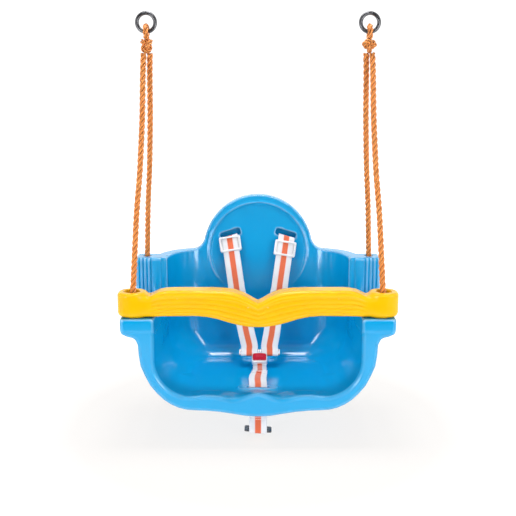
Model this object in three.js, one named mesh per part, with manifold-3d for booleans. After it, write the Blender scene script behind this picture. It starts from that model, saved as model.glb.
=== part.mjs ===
// Toddler bucket swing: moulded seat, sliding safety bar, four ropes on two rings, buckled harness.
// Millimetres, +Z up, +Y towards the backrest. Dimensions below are written in a seat frame whose
// Y=0 is the centre of the front rope holes and whose Z=0 is the top of the bar's end bosses;
// the whole assembly is then moved so that its origin lies midway between the hanging rings.
import * as THREE from 'three';
import { mergeVertices } from 'three/addons/utils/BufferGeometryUtils.js';
import Module from 'manifold-3d';

const wasm = await Module();
wasm.setup();

// --- driving dimensions ---
const WALL = 4;
const FRONT_Y = -24;
const FLOOR_Z = -161;
const SIDE_X = 157;
const SIDE_TAPER = 0.04;
const CORNER_R = 57;
const PLAN_R = 60;
const PLAN_CENTRE_Y = 130;
const BACK_Y = 190;
const CREASE_R = 25;
const BACK_LEAN = 0.0926;
const LEAN_START_Y = 60;
const TUB_TOP = 140;
const LEDGE_Z = -38.6;
const LEDGE_X = 208;
const LEDGE_END_Y = 134;
const LEDGE_LIP = 28;
const SHOULDER_Z = 25;
const SHOULDER_X = 204;
const SHOULDER_Y = [130, 172];
const FLUTE_PITCH = 8;
const FLUTE_DEPTH = 1.2;
const HEAD_R = 95;
const HEAD_Z = 24.5;
const HEAD_FILLET_R = 20;
const BACK_LIP = 18;
const RECESS_R = 82;
const RECESS_Z = 22;
const RECESS_DEPTH = 1.2;
const STRAP_SLOT = { x: 48, z: 52, length: 36, height: 12, tilt: 17 };
const SLOT_HOOD = { x: [24, 73], y: [203, 231.9], z: [38.5, 66], skin: 3.5 };
const CROTCH_SLOT = { x: [-17.5, 17.5], y: [16, 24.5] };
const RIM_LIP_Y = 12;

const BAR_DEPTH = 34;
const BAR_BEVEL = 6;
const BAR_SKIN = 3.2;
const BOSS_X = 190.6;
const BOSS_R = 22;
const BOSS_HEIGHT = 38;
const BORE_R = 11;
const BORE_LIP_R = 13.5;

const ROPE_R = 4.8;
const ROPE_HOLE_R = 6.8;
const ROPE_PIVOT_Z = -20;
const ROPE_TOP_Z = 353.4;
const RING_X = 171.5;
const RING_Y = 95;
const RING_MEAN_R = 14;
const RING_WIRE_R = 3;
const KNOT_BALL_R = 12;
const KNOT_LOOP_R = 8.6;
const END_KNOT_R = 10.5;
const RING_WIRE_Z = 385.6;
const GAP = 0.35;
const WRAP_GAP = 0.5;

const WEB_W = 28;
const WEB_T = 1.6;
const SLIDER = { w: 37, h: 27, t: 7, leftDown: 9, rightDown: 17.5 };
const KEEPER = { w: 43, h: 20, t: 3 };
const BUCKLE_AT = [2.5, 110, -143];
const BUCKLE_V = [0, 0.8, 0.6];
const BUCKLE_N = [0, -0.6, 0.8];
const BUCKLE = { w: 25, h: 19, t: 12 };
const BUTTON = { w: 21, h: 13, rise: 2, deep: 7 };

const BLUE = '#1f9be0';
const YELLOW = '#ffc800';
const ORANGE = '#e8832c';
const WHITE = '#e9ebf2';
const RED = '#c8203c';
const STEEL = '#b4b7bd';
const SLIDER_WHITE = '#f2f2f4';

// --- boolean helpers ---
function toSolid(geometry) {
  const bare = geometry.clone();
  bare.deleteAttribute('normal');
  bare.deleteAttribute('uv');
  const merged = mergeVertices(bare, 1e-4);
  const mesh = new wasm.Mesh({
    numProp: 3,
    vertProperties: new Float32Array(merged.attributes.position.array),
    triVerts: new Uint32Array(merged.index.array),
  });
  mesh.merge();
  return new wasm.Manifold(mesh);
}

function toGeometry(solid) {
  const mesh = solid.getMesh();
  const geometry = new THREE.BufferGeometry();
  geometry.setAttribute('position', new THREE.BufferAttribute(new Float32Array(mesh.vertProperties), 3));
  geometry.setIndex(new THREE.BufferAttribute(new Uint32Array(mesh.triVerts), 1));
  geometry.computeVertexNormals();
  return geometry;
}

function join(...geometries) {
  return geometries.map(toSolid).reduce((a, b) => a.add(b));
}

// --- extrusions of flat outlines ---
function outlineShape(points) {
  return new THREE.Shape(points.map(([a, b]) => new THREE.Vector2(a, b)));
}

function extrude(points, depth) {
  return new THREE.ExtrudeGeometry(outlineShape(points), { depth, bevelEnabled: false });
}

function alongX(points, x0, x1) {
  const axes = new THREE.Matrix4().makeBasis(
    new THREE.Vector3(0, 1, 0), new THREE.Vector3(0, 0, 1), new THREE.Vector3(1, 0, 0));
  return extrude(points, x1 - x0).applyMatrix4(axes).translate(x0, 0, 0);
}

function alongY(points, y0, y1) {
  return extrude(points, y1 - y0).rotateX(Math.PI / 2).translate(0, y1, 0);
}

function alongZ(points, z0, z1) {
  return extrude(points, z1 - z0).translate(0, 0, z0);
}

function block(x, y, z) {
  const size = [x[1] - x[0], y[1] - y[0], z[1] - z[0]];
  return new THREE.BoxGeometry(...size)
    .translate((x[0] + x[1]) / 2, (y[0] + y[1]) / 2, (z[0] + z[1]) / 2);
}

function rod(from, to, radius, sides = 24) {
  const a = new THREE.Vector3(...from);
  const b = new THREE.Vector3(...to);
  const length = a.distanceTo(b);
  const turn = new THREE.Quaternion().setFromUnitVectors(
    new THREE.Vector3(0, 1, 0), b.clone().sub(a).normalize());
  const centre = a.clone().add(b).multiplyScalar(0.5);
  return new THREE.CylinderGeometry(radius, radius, length, sides)
    .applyQuaternion(turn).translate(centre.x, centre.y, centre.z);
}

// A lathe body whose profile is [radius, z] from bottom axis point to top axis point.
function turned(profile, segments = 40) {
  const points = profile.map(([r, z]) => new THREE.Vector2(r, z));
  return new THREE.LatheGeometry(points, segments).rotateX(Math.PI / 2);
}

function mirrored(geometry) {
  const copy = geometry.clone().scale(-1, 1, 1);
  const index = copy.index.array;
  for (let i = 0; i < index.length; i += 3) {
    [index[i + 1], index[i + 2]] = [index[i + 2], index[i + 1]];
  }
  copy.computeVertexNormals();
  return copy;
}

// --- seat shell ---
function lean(geometry) {
  const p = geometry.attributes.position;
  for (let i = 0; i < p.count; i += 1) {
    const rise = Math.max(0, p.getZ(i) - (FLOOR_Z + CREASE_R));
    const share = Math.min(1, Math.max(0, (p.getY(i) - LEAN_START_Y) / (BACK_Y - LEAN_START_Y)));
    p.setY(i, p.getY(i) + BACK_LEAN * rise * share);
  }
  return geometry;
}

function tubSection(y, off) {
  const arc = y - PLAN_CENTRE_Y;
  const sideAtArc = SIDE_X - SIDE_TAPER * (PLAN_CENTRE_Y - FRONT_Y);
  const half = arc <= 0
    ? SIDE_X - SIDE_TAPER * (y - FRONT_Y) + off
    : sideAtArc - PLAN_R + Math.sqrt(Math.max(0, (PLAN_R + off) ** 2 - arc ** 2));
  const creaseY = BACK_Y - CREASE_R;
  const past = y - creaseY;
  const floor = past <= 0
    ? FLOOR_Z - off
    : FLOOR_Z + CREASE_R - Math.sqrt(Math.max(0, (CREASE_R + off) ** 2 - past ** 2));
  const radius = Math.min(CORNER_R + off, half - 5);
  const points = [[half, TUB_TOP], [half, 40]];
  const steps = 12;
  for (let i = 0; i <= steps; i += 1) {
    const a = (i / steps) * Math.PI / 2;
    points.push([half - radius + radius * Math.cos(a), floor + radius - radius * Math.sin(a)]);
  }
  return points.concat(points.slice().reverse().map(([x, z]) => [-x, z]));
}

function tubStations(start, off) {
  const stations = [start, 0, LEAN_START_Y, 95, PLAN_CENTRE_Y];
  const reach = PLAN_R + off;
  for (let i = 1; i <= 12; i += 1) {
    stations.push(PLAN_CENTRE_Y + reach * Math.sin((i / 12) * Math.PI / 2));
  }
  return stations;
}

function tub(start, off) {
  const rings = tubStations(start, off).map((y) => tubSection(y, off).map(([x, z]) => [x, y, z]));
  const n = rings[0].length;
  const positions = rings.flat(2);
  const index = [];
  for (let r = 0; r + 1 < rings.length; r += 1) {
    for (let i = 0; i < n; i += 1) {
      const a = r * n + i;
      const b = r * n + ((i + 1) % n);
      index.push(a, b, a + n, b, b + n, a + n);
    }
  }
  const last = (rings.length - 1) * n;
  for (let i = 1; i + 1 < n; i += 1) {
    index.push(0, i + 1, i);
    index.push(last, last + i, last + i + 1);
  }
  const geometry = new THREE.BufferGeometry();
  geometry.setAttribute('position', new THREE.Float32BufferAttribute(positions, 3));
  geometry.setIndex(index);
  return lean(geometry);
}

// Front view outline of the backrest: shoulders, concave fillets and the round headrest.
function backOutline(inset, reach, foot) {
  const top = SHOULDER_Z - inset;
  const radius = HEAD_R - inset;
  const filletR = HEAD_FILLET_R + inset;
  const across = radius + filletR;
  const rise = top + filletR - HEAD_Z;
  const filletX = Math.sqrt(across ** 2 - rise ** 2);
  const touch = Math.atan2(rise, filletX);
  const right = [[reach, foot], [reach, top]];
  for (let i = 0; i <= 6; i += 1) {
    const a = -Math.PI / 2 - (Math.PI / 2 - touch) * (i / 6);
    right.push([filletX + filletR * Math.cos(a), top + filletR + filletR * Math.sin(a)]);
  }
  for (let i = 1; i <= 16; i += 1) {
    const a = touch + (Math.PI / 2 - touch) * (i / 16);
    right.push([radius * Math.cos(a), HEAD_Z + radius * Math.sin(a)]);
  }
  const left = right.slice(0, -1).reverse().map(([x, z]) => [-x, z]);
  return right.concat(left);
}

function frontOutline(inset) {
  const right = [
    [0, -38.6], [203, -38.6], [206.8, -40.3], [208, -44], [207.8, -53], [205.8, -60], [201.5, -65],
    [196, -67.3], [190, -68.4], [185.5, -71.5], [182, -79], [181, -96], [178.5, -113],
    [172, -129], [164.5, -144],
    [154, -157], [144, -167], [133, -174.5], [121, -180], [109, -183], [94, -184], [78, -184.6],
    [58, -186.5], [39, -189.5], [20, -192.8], [0, -194],
  ];
  const ring = right.concat(right.slice(1, -1).reverse().map(([x, z]) => [-x, z]));
  return ring.map(([x, z], i) => {
    const before = ring[(i + ring.length - 1) % ring.length];
    const after = ring[(i + 1) % ring.length];
    const dx = after[0] - before[0];
    const dz = after[1] - before[1];
    const length = Math.hypot(dx, dz);
    return [x + inset * (dz / length), z - inset * (dx / length)];
  });
}

function shoulderOutline(inset) {
  const points = [[110, SHOULDER_Y[0] + inset], [150, SHOULDER_Y[0] + inset]];
  for (let x = 160; x <= 196; x += FLUTE_PITCH / 4) {
    const wave = inset > 0 ? 0 : FLUTE_DEPTH * Math.abs(Math.sin((Math.PI * (x - 160)) / FLUTE_PITCH));
    points.push([x, SHOULDER_Y[0] + inset - wave]);
  }
  const side = SHOULDER_X - inset;
  const rear = SHOULDER_Y[1] - inset;
  return points.concat([
    [side - 3, SHOULDER_Y[0] + inset], [side, SHOULDER_Y[0] + inset + 3],
    [side, rear - 6], [side - 6, rear], [110, rear],
  ]);
}

function shoulderBlock() {
  const outer = toSolid(alongZ(shoulderOutline(0), LEDGE_Z - WALL, SHOULDER_Z));
  const hollow = toSolid(alongZ(shoulderOutline(WALL), LEDGE_Z - 2 * WALL, SHOULDER_Z - WALL));
  return toGeometry(outer.subtract(hollow));
}

function ledge() {
  const plan = [
    [120, FRONT_Y], [200, FRONT_Y], [205.5, FRONT_Y + 2.5], [LEDGE_X, FRONT_Y + 8],
    [LEDGE_X, LEDGE_END_Y - 6], [LEDGE_X - 6, LEDGE_END_Y], [120, LEDGE_END_Y],
  ];
  const lip = block([LEDGE_X - 3.5, LEDGE_X], [FRONT_Y + 8, LEDGE_END_Y - 6],
    [LEDGE_Z - LEDGE_LIP, LEDGE_Z - 1]);
  return toGeometry(join(alongZ(plan, LEDGE_Z - WALL, LEDGE_Z), lip));
}

function trimRegion() {
  const below = toSolid(block([-230, 230], [FRONT_Y, 260], [-260, LEDGE_Z]));
  const profile = [
    [112, -60], [112, -38.6], [118, -37], [124, -32.5], [128.5, -26], [130, -19],
    [130, 150], [260, 150], [260, -60],
  ];
  const sideView = toSolid(alongX(profile, -230, 230));
  const frontView = toSolid(alongY(backOutline(0, 230, -80), 60, 270));
  return below.add(sideView.intersect(frontView));
}

function backLip() {
  const outer = toSolid(alongY(backOutline(0, 150, -20), PLAN_CENTRE_Y, 270));
  const inner = toSolid(alongY(backOutline(3.5, 160, -30), PLAN_CENTRE_Y - 1, 271));
  return outer.subtract(inner).intersect(toSolid(tub(FRONT_Y, WALL + BACK_LIP)));
}

function strapSlot(side) {
  const { x, z, length, height, tilt } = STRAP_SLOT;
  return new THREE.BoxGeometry(length, 50, height)
    .rotateY(side * THREE.MathUtils.degToRad(tilt)).translate(side * x, 195, z);
}

// A hood behind a strap slot, open below so that the strap can run down the back.
function slotHood(side) {
  const { x, y, z, skin } = SLOT_HOOD;
  const outer = toSolid(block([x[0], x[1]], [y[0], y[1]], [z[0], z[1]]));
  const room = toSolid(block([x[0] + skin, x[1] - skin], [y[0] - 1, y[1] - skin], [z[0] - 1, z[1] - skin]));
  const hood = toGeometry(outer.subtract(room));
  return side < 0 ? mirrored(hood) : hood;
}

function headRecess() {
  const disc = new THREE.CylinderGeometry(RECESS_R, RECESS_R, 20, 64);
  return lean(disc.translate(0, BACK_Y - 10 + RECESS_DEPTH, RECESS_Z));
}

function ropeHoles() {
  const holes = [];
  for (const side of [-1, 1]) {
    const f = frontRopeAt(side, LEDGE_Z - WALL / 2);
    holes.push(rod([f.x, f.y, LEDGE_Z - 10], [f.x, f.y, LEDGE_Z + 6], ROPE_HOLE_R));
    const r = rearRopeAt(side, SHOULDER_Z - WALL / 2);
    holes.push(rod([r.x, r.y, SHOULDER_Z - 12], [r.x, r.y, SHOULDER_Z + 6], ROPE_HOLE_R));
  }
  return holes;
}

function seatShell() {
  const outerTub = toSolid(tub(FRONT_Y, WALL)).intersect(trimRegion());
  const flange = toSolid(alongY(frontOutline(0), FRONT_Y, FRONT_Y + WALL));
  const rimRing = toSolid(alongY(frontOutline(0), FRONT_Y, FRONT_Y + RIM_LIP_Y))
    .subtract(toSolid(alongY(frontOutline(3), FRONT_Y - 1, FRONT_Y + RIM_LIP_Y + 1)));
  const sides = [ledge(), shoulderBlock()];
  let shell = outerTub.add(flange).add(rimRing).add(backLip())
    .add(toSolid(slotHood(-1))).add(toSolid(slotHood(1)));
  for (const piece of sides) {
    shell = shell.add(toSolid(piece)).add(toSolid(mirrored(piece)));
  }
  shell = shell.subtract(toSolid(tub(FRONT_Y - 40, 0)));
  shell = shell.subtract(toSolid(headRecess()));
  const cuts = [
    strapSlot(-1), strapSlot(1), ...ropeHoles(),
    block(CROTCH_SLOT.x, CROTCH_SLOT.y, [FLOOR_Z - 10, FLOOR_Z + 5]),
  ];
  for (const cut of cuts) {
    shell = shell.subtract(toSolid(cut));
  }
  return toGeometry(shell);
}

// --- safety bar ---
function barOutline() {
  const top = [
    [0, -16.5], [7, -13], [15, -8], [25, -3], [37, 0.8], [52, 2.6], [70, 3.4], [100, 3.4],
    [124, 3.4], [139, 3], [150, 0.8], [157, -2.6], [163, -5.7], [180, -5.7],
  ];
  const bottom = [
    [180, -37.4], [150, -37.2], [120, -36.6], [95, -36.4], [76, -38], [60, -41.5], [45, -46.5],
    [30, -50.5], [15, -53.2], [0, -54],
  ];
  const right = top.concat(bottom).reverse();
  return right.concat(right.slice(1, -1).reverse().map(([x, z]) => [-x, z]));
}

function barBlank(inset, drop) {
  const rounding = BAR_BEVEL - inset / 2;
  const depth = BAR_DEPTH - 2 * inset - 2 * rounding;
  return new THREE.ExtrudeGeometry(outlineShape(barOutline()), {
    depth,
    bevelEnabled: true,
    bevelThickness: rounding,
    bevelSize: rounding - 1,
    bevelOffset: 1 - rounding - inset,
    bevelSegments: 3,
  }).rotateX(Math.PI / 2).translate(0, depth / 2, -drop);
}

// The bar's body is open underneath: its room is the body's own shape, shrunk and swept downwards.
function barRoom() {
  const ends = toSolid(block([-163, 163], [-BAR_DEPTH, BAR_DEPTH], [-90, 20]));
  let room = toSolid(barBlank(BAR_SKIN, 0));
  for (let drop = 4; drop <= 24; drop += 4) {
    room = room.add(toSolid(barBlank(BAR_SKIN, drop)));
  }
  return room.intersect(ends);
}

function safetyBar() {
  const bossProfile = [
    [0, -BOSS_HEIGHT], [BOSS_R - 2, -BOSS_HEIGHT], [BOSS_R, 2 - BOSS_HEIGHT],
    [BOSS_R, -2], [BOSS_R - 2, 0], [0, 0],
  ];
  const boreProfile = [
    [0, -BOSS_HEIGHT - 1], [BORE_LIP_R + 0.2, -BOSS_HEIGHT - 1], [BORE_LIP_R, -BOSS_HEIGHT],
    [BORE_R + 0.4, 7 - BOSS_HEIGHT], [BORE_R, 11 - BOSS_HEIGHT], [BORE_R, -11],
    [BORE_R + 0.4, -7], [BORE_LIP_R, 0], [BORE_LIP_R + 0.2, 1], [0, 1],
  ];
  let bar = toSolid(barBlank(0, 0)).subtract(barRoom());
  for (const side of [-1, 1]) {
    bar = bar.add(toSolid(turned(bossProfile).translate(side * BOSS_X, 0, 0)));
  }
  for (const side of [-1, 1]) {
    bar = bar.subtract(toSolid(turned(boreProfile).translate(side * BOSS_X, 0, 0)));
  }
  return toGeometry(bar);
}

// --- ropes, knots and rings ---
function between(a, b, z) {
  return a.clone().lerp(b, (z - a.z) / (b.z - a.z));
}

function frontRopeAt(side, z) {
  const pivot = new THREE.Vector3(side * BOSS_X, 0, ROPE_PIVOT_Z);
  const top = new THREE.Vector3(side * (RING_X + 4.5), RING_Y - 2.5, ROPE_TOP_Z);
  return between(pivot, top, z);
}

function rearRopeAt(side, z) {
  const hole = new THREE.Vector3(side * 186, 152, SHOULDER_Z);
  const top = new THREE.Vector3(side * (RING_X - 4.5), RING_Y + 2.5, ROPE_TOP_Z);
  return between(hole, top, z);
}

const FRONT_KNOT_Z = LEDGE_Z - WALL - END_KNOT_R - 0.5;
const REAR_KNOT_Z = SHOULDER_Z - WALL - END_KNOT_R - 0.5;

function rope(pointAt, knotZ) {
  const start = pointAt(knotZ + END_KNOT_R + 0.6);
  const end = pointAt(ROPE_TOP_Z);
  const section = new THREE.Shape();
  section.absarc(0, 0, ROPE_R, 0, Math.PI * 2, false);
  return new THREE.ExtrudeGeometry(section, {
    steps: 12, curveSegments: 10, extrudePath: new THREE.LineCurve3(start, end),
  });
}

function endKnot(centre) {
  return new THREE.SphereGeometry(END_KNOT_R, 14, 9).translate(centre.x, centre.y, centre.z);
}

function ringKnot(side) {
  const ball = new THREE.SphereGeometry(KNOT_BALL_R, 16, 10)
    .translate(0, 0, -KNOT_LOOP_R - ROPE_R - 6);
  const loop = new THREE.TorusGeometry(KNOT_LOOP_R, ROPE_R, 10, 24).rotateY(Math.PI / 2);
  return toGeometry(join(ball, loop)).translate(side * RING_X, RING_Y, RING_WIRE_Z);
}

function hangingRing(side) {
  return new THREE.TorusGeometry(RING_MEAN_R, RING_WIRE_R, 12, 36)
    .rotateX(Math.PI / 2).translate(side * RING_X, RING_Y, RING_WIRE_Z + RING_MEAN_R);
}

// --- webbing ---
// A closed flat strip along points; facing is the side that the strip's front looks towards.
function webbing(points, facing, width = WEB_W, thickness = WEB_T) {
  const p = points.map((q) => new THREE.Vector3(...q));
  const positions = [];
  p.forEach((centre, i) => {
    const tangent = p[Math.min(i + 1, p.length - 1)].clone().sub(p[Math.max(i - 1, 0)]).normalize();
    const across = new THREE.Vector3(...facing[i]).normalize();
    across.addScaledVector(tangent, -across.dot(tangent)).normalize();
    const normal = tangent.clone().cross(across).normalize();
    for (const [a, b] of [[-1, -1], [1, -1], [1, 1], [-1, 1]]) {
      const corner = centre.clone().addScaledVector(across, (a * width) / 2)
        .addScaledVector(normal, (b * thickness) / 2);
      positions.push(...corner.toArray());
    }
  });
  const index = [];
  for (let r = 0; r + 1 < p.length; r += 1) {
    for (let i = 0; i < 4; i += 1) {
      const a = r * 4 + i;
      const b = r * 4 + ((i + 1) % 4);
      index.push(a, b, a + 4, b, b + 4, a + 4);
    }
  }
  const last = (p.length - 1) * 4;
  index.push(0, 2, 1, 0, 3, 2, last, last + 1, last + 2, last, last + 2, last + 3);
  const geometry = new THREE.BufferGeometry();
  geometry.setAttribute('position', new THREE.Float32BufferAttribute(positions, 3));
  geometry.setIndex(index);
  geometry.computeVertexNormals();
  return geometry;
}

function alongCurve(points, steps) {
  const curve = new THREE.CatmullRomCurve3(points.map((q) => new THREE.Vector3(...q)), false, 'centripetal');
  return curve.getSpacedPoints(steps).map((q) => q.toArray());
}

const SLIDER_FROM = [-49.2, 202.5, 44];
const SLIDER_TO = [-35.9, 163, -38];

const SLIDER_TILT = 9;
const BACK_KEEPER = { x: -50.5, y: 224, z: 12 };
const LOW_KEEPER = { y: 22, z: -231, roll: 0.06 };

function tiltedAcross(degrees) {
  const a = THREE.MathUtils.degToRad(degrees);
  return [Math.cos(a), 0, Math.sin(a)];
}

// 0 at the strap's tail, 1 at the height of the slot.
function slotShare(z) {
  return Math.min(1, Math.max(0, (z - 14) / 34));
}

// A half turn of webbing round the lower edge of an upright plate.
function wrapPoints(x, y, z, from, to) {
  const r = KEEPER.t / 2 + WEB_T / 2 + WRAP_GAP;
  const points = [];
  for (let i = 0; i <= 6; i += 1) {
    const a = from + ((to - from) * i) / 6;
    points.push([x, y + r * Math.cos(a), z - r * Math.sin(a)]);
  }
  return points;
}

// The left strap; aside moves its lower end outwards, for the strap further from the buckle's centre.
function shoulderStrap(aside) {
  const loop = buckleLocal(-TONGUE_X - aside, TONGUE_BAR_V + 3.4, 0);
  const k = BACK_KEEPER;
  const tail = wrapPoints(k.x, k.y, k.z - KEEPER.h / 2, Math.PI, 0);
  const upper = [[k.x, tail[0][1], k.z + 4], ...tail].concat(alongCurve([
    [k.x, tail[tail.length - 1][1], k.z], [k.x, k.y + 2.6, 34], [-50, 222.5, 46], [-49.6, 214, 50.8],
    [-49.3, 206.2, 50.4], SLIDER_FROM,
  ], 16));
  const lower = alongCurve([
    SLIDER_TO, [-23.7 - aside * 0.6, 142, -86], [loop.x - 1, loop.y + 3, loop.z + 14],
    [loop.x, loop.y, loop.z],
  ], 14);
  const points = upper.concat(lower);
  const across = points.map((q, i) => {
    if (i < upper.length - 1) {
      return tiltedAcross(slotShare(q[2]) * STRAP_SLOT.tilt - Math.max(0, i - upper.length + 7));
    }
    const past = Math.max(0, i - upper.length);
    return tiltedAcross(SLIDER_TILT * (1 - past / lower.length));
  });
  return webbing(points, across);
}

function crotchStrap() {
  const entry = buckleLocal(0, -BUCKLE.h / 2 - 1.4, 0);
  const before = buckleLocal(0, -BUCKLE.h / 2 - 6, 0);
  const { y, z } = LOW_KEEPER;
  const bar = y - KEEPER.h / 2 + 1.75;
  const half = 1.75 + WEB_T / 2 + WRAP_GAP;
  const under = (edge, from, to) => [0, 1, 2, 3, 4].map((i) => {
    const a = from + ((to - from) * i) / 4;
    const r = WEB_T / 2 + WRAP_GAP;
    return [0, edge + r * Math.cos(a), z - KEEPER.t / 2 - r * Math.sin(a)];
  });
  const hook = [
    [0, bar + half, z + 15], [0, bar + half, z],
    ...under(bar + 1.75, 0, Math.PI / 2), ...under(bar - 1.75, Math.PI / 2, Math.PI),
    [0, bar - half, z],
  ];
  const rise = alongCurve([
    [0, bar - half, z + 3], [0, bar - half + 1.5, z + 14], [0, 18.2, -186], [0, 19.9, -172], [0, 20.2, -160],
    [0, 23, -154], [0.5, 42, -151.5], [1.5, 74, -153.6],
    [before.x, before.y, before.z], [entry.x, entry.y, entry.z],
  ], 30);
  const points = hook.concat(rise);
  const rolled = (z) => LOW_KEEPER.roll * Math.min(1, Math.max(0, (-200 - z) / 25));
  return webbing(points, points.map((q) => [1, 0, -rolled(q[2])]));
}

// --- harness hardware ---
function placeAt(geometry, at, up, normal) {
  const v = new THREE.Vector3(...up).normalize();
  const n = new THREE.Vector3(...normal);
  n.addScaledVector(v, -n.dot(v)).normalize();
  const u = v.clone().cross(n);
  const frame = new THREE.Matrix4().makeBasis(u, v, n).setPosition(...at);
  return geometry.applyMatrix4(frame);
}

function framedPlate(width, height, thickness, windows) {
  const shape = outlineShape([
    [-width / 2 + 2, -height / 2], [width / 2 - 2, -height / 2], [width / 2, -height / 2 + 2],
    [width / 2, height / 2 - 2], [width / 2 - 2, height / 2], [-width / 2 + 2, height / 2],
    [-width / 2, height / 2 - 2], [-width / 2, -height / 2 + 2],
  ]);
  for (const [x0, y0, x1, y1] of windows) {
    shape.holes.push(new THREE.Path([[x0, y0], [x0, y1], [x1, y1], [x1, y0]]
      .map(([a, b]) => new THREE.Vector2(a, b))));
  }
  return new THREE.ExtrudeGeometry(shape, { depth: thickness, bevelEnabled: false })
    .translate(0, 0, -thickness / 2);
}

function sliderFrame(down) {
  const a = new THREE.Vector3(...SLIDER_FROM);
  const b = new THREE.Vector3(...SLIDER_TO);
  const up = a.clone().sub(b).normalize();
  const across = new THREE.Vector3(...tiltedAcross(SLIDER_TILT));
  across.addScaledVector(up, -across.dot(up)).normalize();
  const normal = across.clone().cross(up);
  const at = a.clone().addScaledVector(up, -down);
  return { at: at.toArray(), up: up.toArray(), normal: normal.toArray() };
}

function shoulderSlider(down) {
  const { w, h, t } = SLIDER;
  const outer = toSolid(framedPlate(w, h, t, []));
  const passage = toSolid(new THREE.BoxGeometry(WEB_W + 1.6, h + 2, WEB_T + 1.2));
  const front = toSolid(new THREE.BoxGeometry(WEB_W - 1, h - 9, t).translate(0, 0, t / 2));
  const body = toGeometry(outer.subtract(passage).subtract(front));
  const f = sliderFrame(down);
  return placeAt(body, f.at, f.up, f.normal);
}

function steelKeeper(at, up, normal) {
  const { w, h, t } = KEEPER;
  const slot = [-16, 16];
  const plate = framedPlate(w, h, t, [
    [slot[0], -h / 2 + 3.5, slot[1], -2], [slot[0], 2, slot[1], h / 2 - 3.5],
  ]);
  return placeAt(plate, at, up, normal);
}

function buckleLocal(u, v, n) {
  return new THREE.Vector3(
    BUCKLE_AT[0] + u,
    BUCKLE_AT[1] + BUCKLE_V[1] * v + BUCKLE_N[1] * n,
    BUCKLE_AT[2] + BUCKLE_V[2] * v + BUCKLE_N[2] * n,
  );
}

const TONGUE_X = 17;
const TONGUE_BAR_V = 13;
const BUTTON_V = 0;

function inBuckle(geometry) {
  return placeAt(geometry, BUCKLE_AT, BUCKLE_V, BUCKLE_N);
}

function buckleHousing() {
  const { w, h, t } = BUCKLE;
  const outer = toSolid(framedPlate(w, h, t, []));
  const pocket = new THREE.BoxGeometry(BUTTON.w + 0.8, BUTTON.h + 0.8, BUTTON.deep + 4)
    .translate(0, BUTTON_V, t / 2 - BUTTON.deep / 2 + 2 - 2.5);
  let body = outer.subtract(toSolid(pocket));
  for (const side of [-1, 1]) {
    const mouth = new THREE.BoxGeometry(8.6, 12, 2.4).translate(side * 7, h / 2 - 5, -3.4);
    body = body.subtract(toSolid(mouth));
  }
  return inBuckle(toGeometry(body));
}

function buckleButton() {
  const depth = BUTTON.deep - 2.6;
  const cap = new THREE.BoxGeometry(BUTTON.w, BUTTON.h, depth + BUTTON.rise)
    .translate(0, BUTTON_V, BUCKLE.t / 2 + BUTTON.rise - (depth + BUTTON.rise) / 2);
  return inBuckle(cap);
}

function buckleTongue(side) {
  const z = -3.4;
  const outline = [
    [-4, 2], [4, 2], [4, 10.2], [17, 10.2], [17, 21.5], [-17, 21.5], [-17, 10.2], [-4, 10.2],
  ].map(([x, y]) => [x, y]);
  const shape = outlineShape(outline.map(([x, y]) => [y < 11.5 && Math.abs(x) < 5 ? x - side * 10 : x, y]));
  const slot = [[-14.6, 13], [-14.6, 18], [14.6, 18], [14.6, 13]];
  shape.holes.push(new THREE.Path(slot.map(([a, b]) => new THREE.Vector2(a, b))));
  const plate = new THREE.ExtrudeGeometry(shape, { depth: 1.8, bevelEnabled: false })
    .translate(side * 17.3, 0, z - 0.9);
  return inBuckle(plate);
}

function buttonSpring() {
  const bottom = -3.2;
  const height = 4.4;
  const turns = 3;
  class Coil extends THREE.Curve {
    getPoint(t) {
      const a = t * turns * Math.PI * 2;
      return new THREE.Vector3(2.4 * Math.cos(a), 2.4 * Math.sin(a), bottom + 0.4 + (height - 0.8) * t);
    }
  }
  const wire = new THREE.Shape();
  wire.absarc(0, 0, 0.3, 0, Math.PI * 2, false);
  const coil = new THREE.ExtrudeGeometry(wire, { steps: 54, curveSegments: 3, extrudePath: new Coil() });
  return inBuckle(coil.translate(0, BUTTON_V, 0));
}

// --- assembly ---
const group = new THREE.Group();
group.name = 'toddler_bucket_swing';

function add(name, geometry, colour, roughness = 0.4, metalness = 0) {
  const material = new THREE.MeshStandardMaterial({ color: colour, roughness, metalness });
  material.name = `${name}_material`;
  const mesh = new THREE.Mesh(geometry.translate(0, -RING_Y, -RING_WIRE_Z), material);
  mesh.name = name;
  group.add(mesh);
}

add('seat_shell', seatShell(), BLUE, 0.3);
add('safety_bar', safetyBar(), YELLOW, 0.3);
add('shoulder_strap_left', shoulderStrap(0), WHITE, 0.9);
add('shoulder_strap_right', mirrored(shoulderStrap(2 * BUCKLE_AT[0])), WHITE, 0.9);
add('crotch_strap', crotchStrap(), WHITE, 0.9);
add('shoulder_slider_left', shoulderSlider(SLIDER.leftDown), SLIDER_WHITE, 0.4);
add('shoulder_slider_right', mirrored(shoulderSlider(SLIDER.rightDown)), SLIDER_WHITE, 0.4);
add('buckle_housing', buckleHousing(), SLIDER_WHITE, 0.4);
add('buckle_button', buckleButton(), RED, 0.35);
add('button_spring', buttonSpring(), STEEL, 0.3, 1);
const lowPlate = steelKeeper([0, LOW_KEEPER.y, LOW_KEEPER.z], [0, 1, 0], [LOW_KEEPER.roll, 0, 1]);
add('crotch_strap_keeper', lowPlate, STEEL, 0.3, 1);
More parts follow.
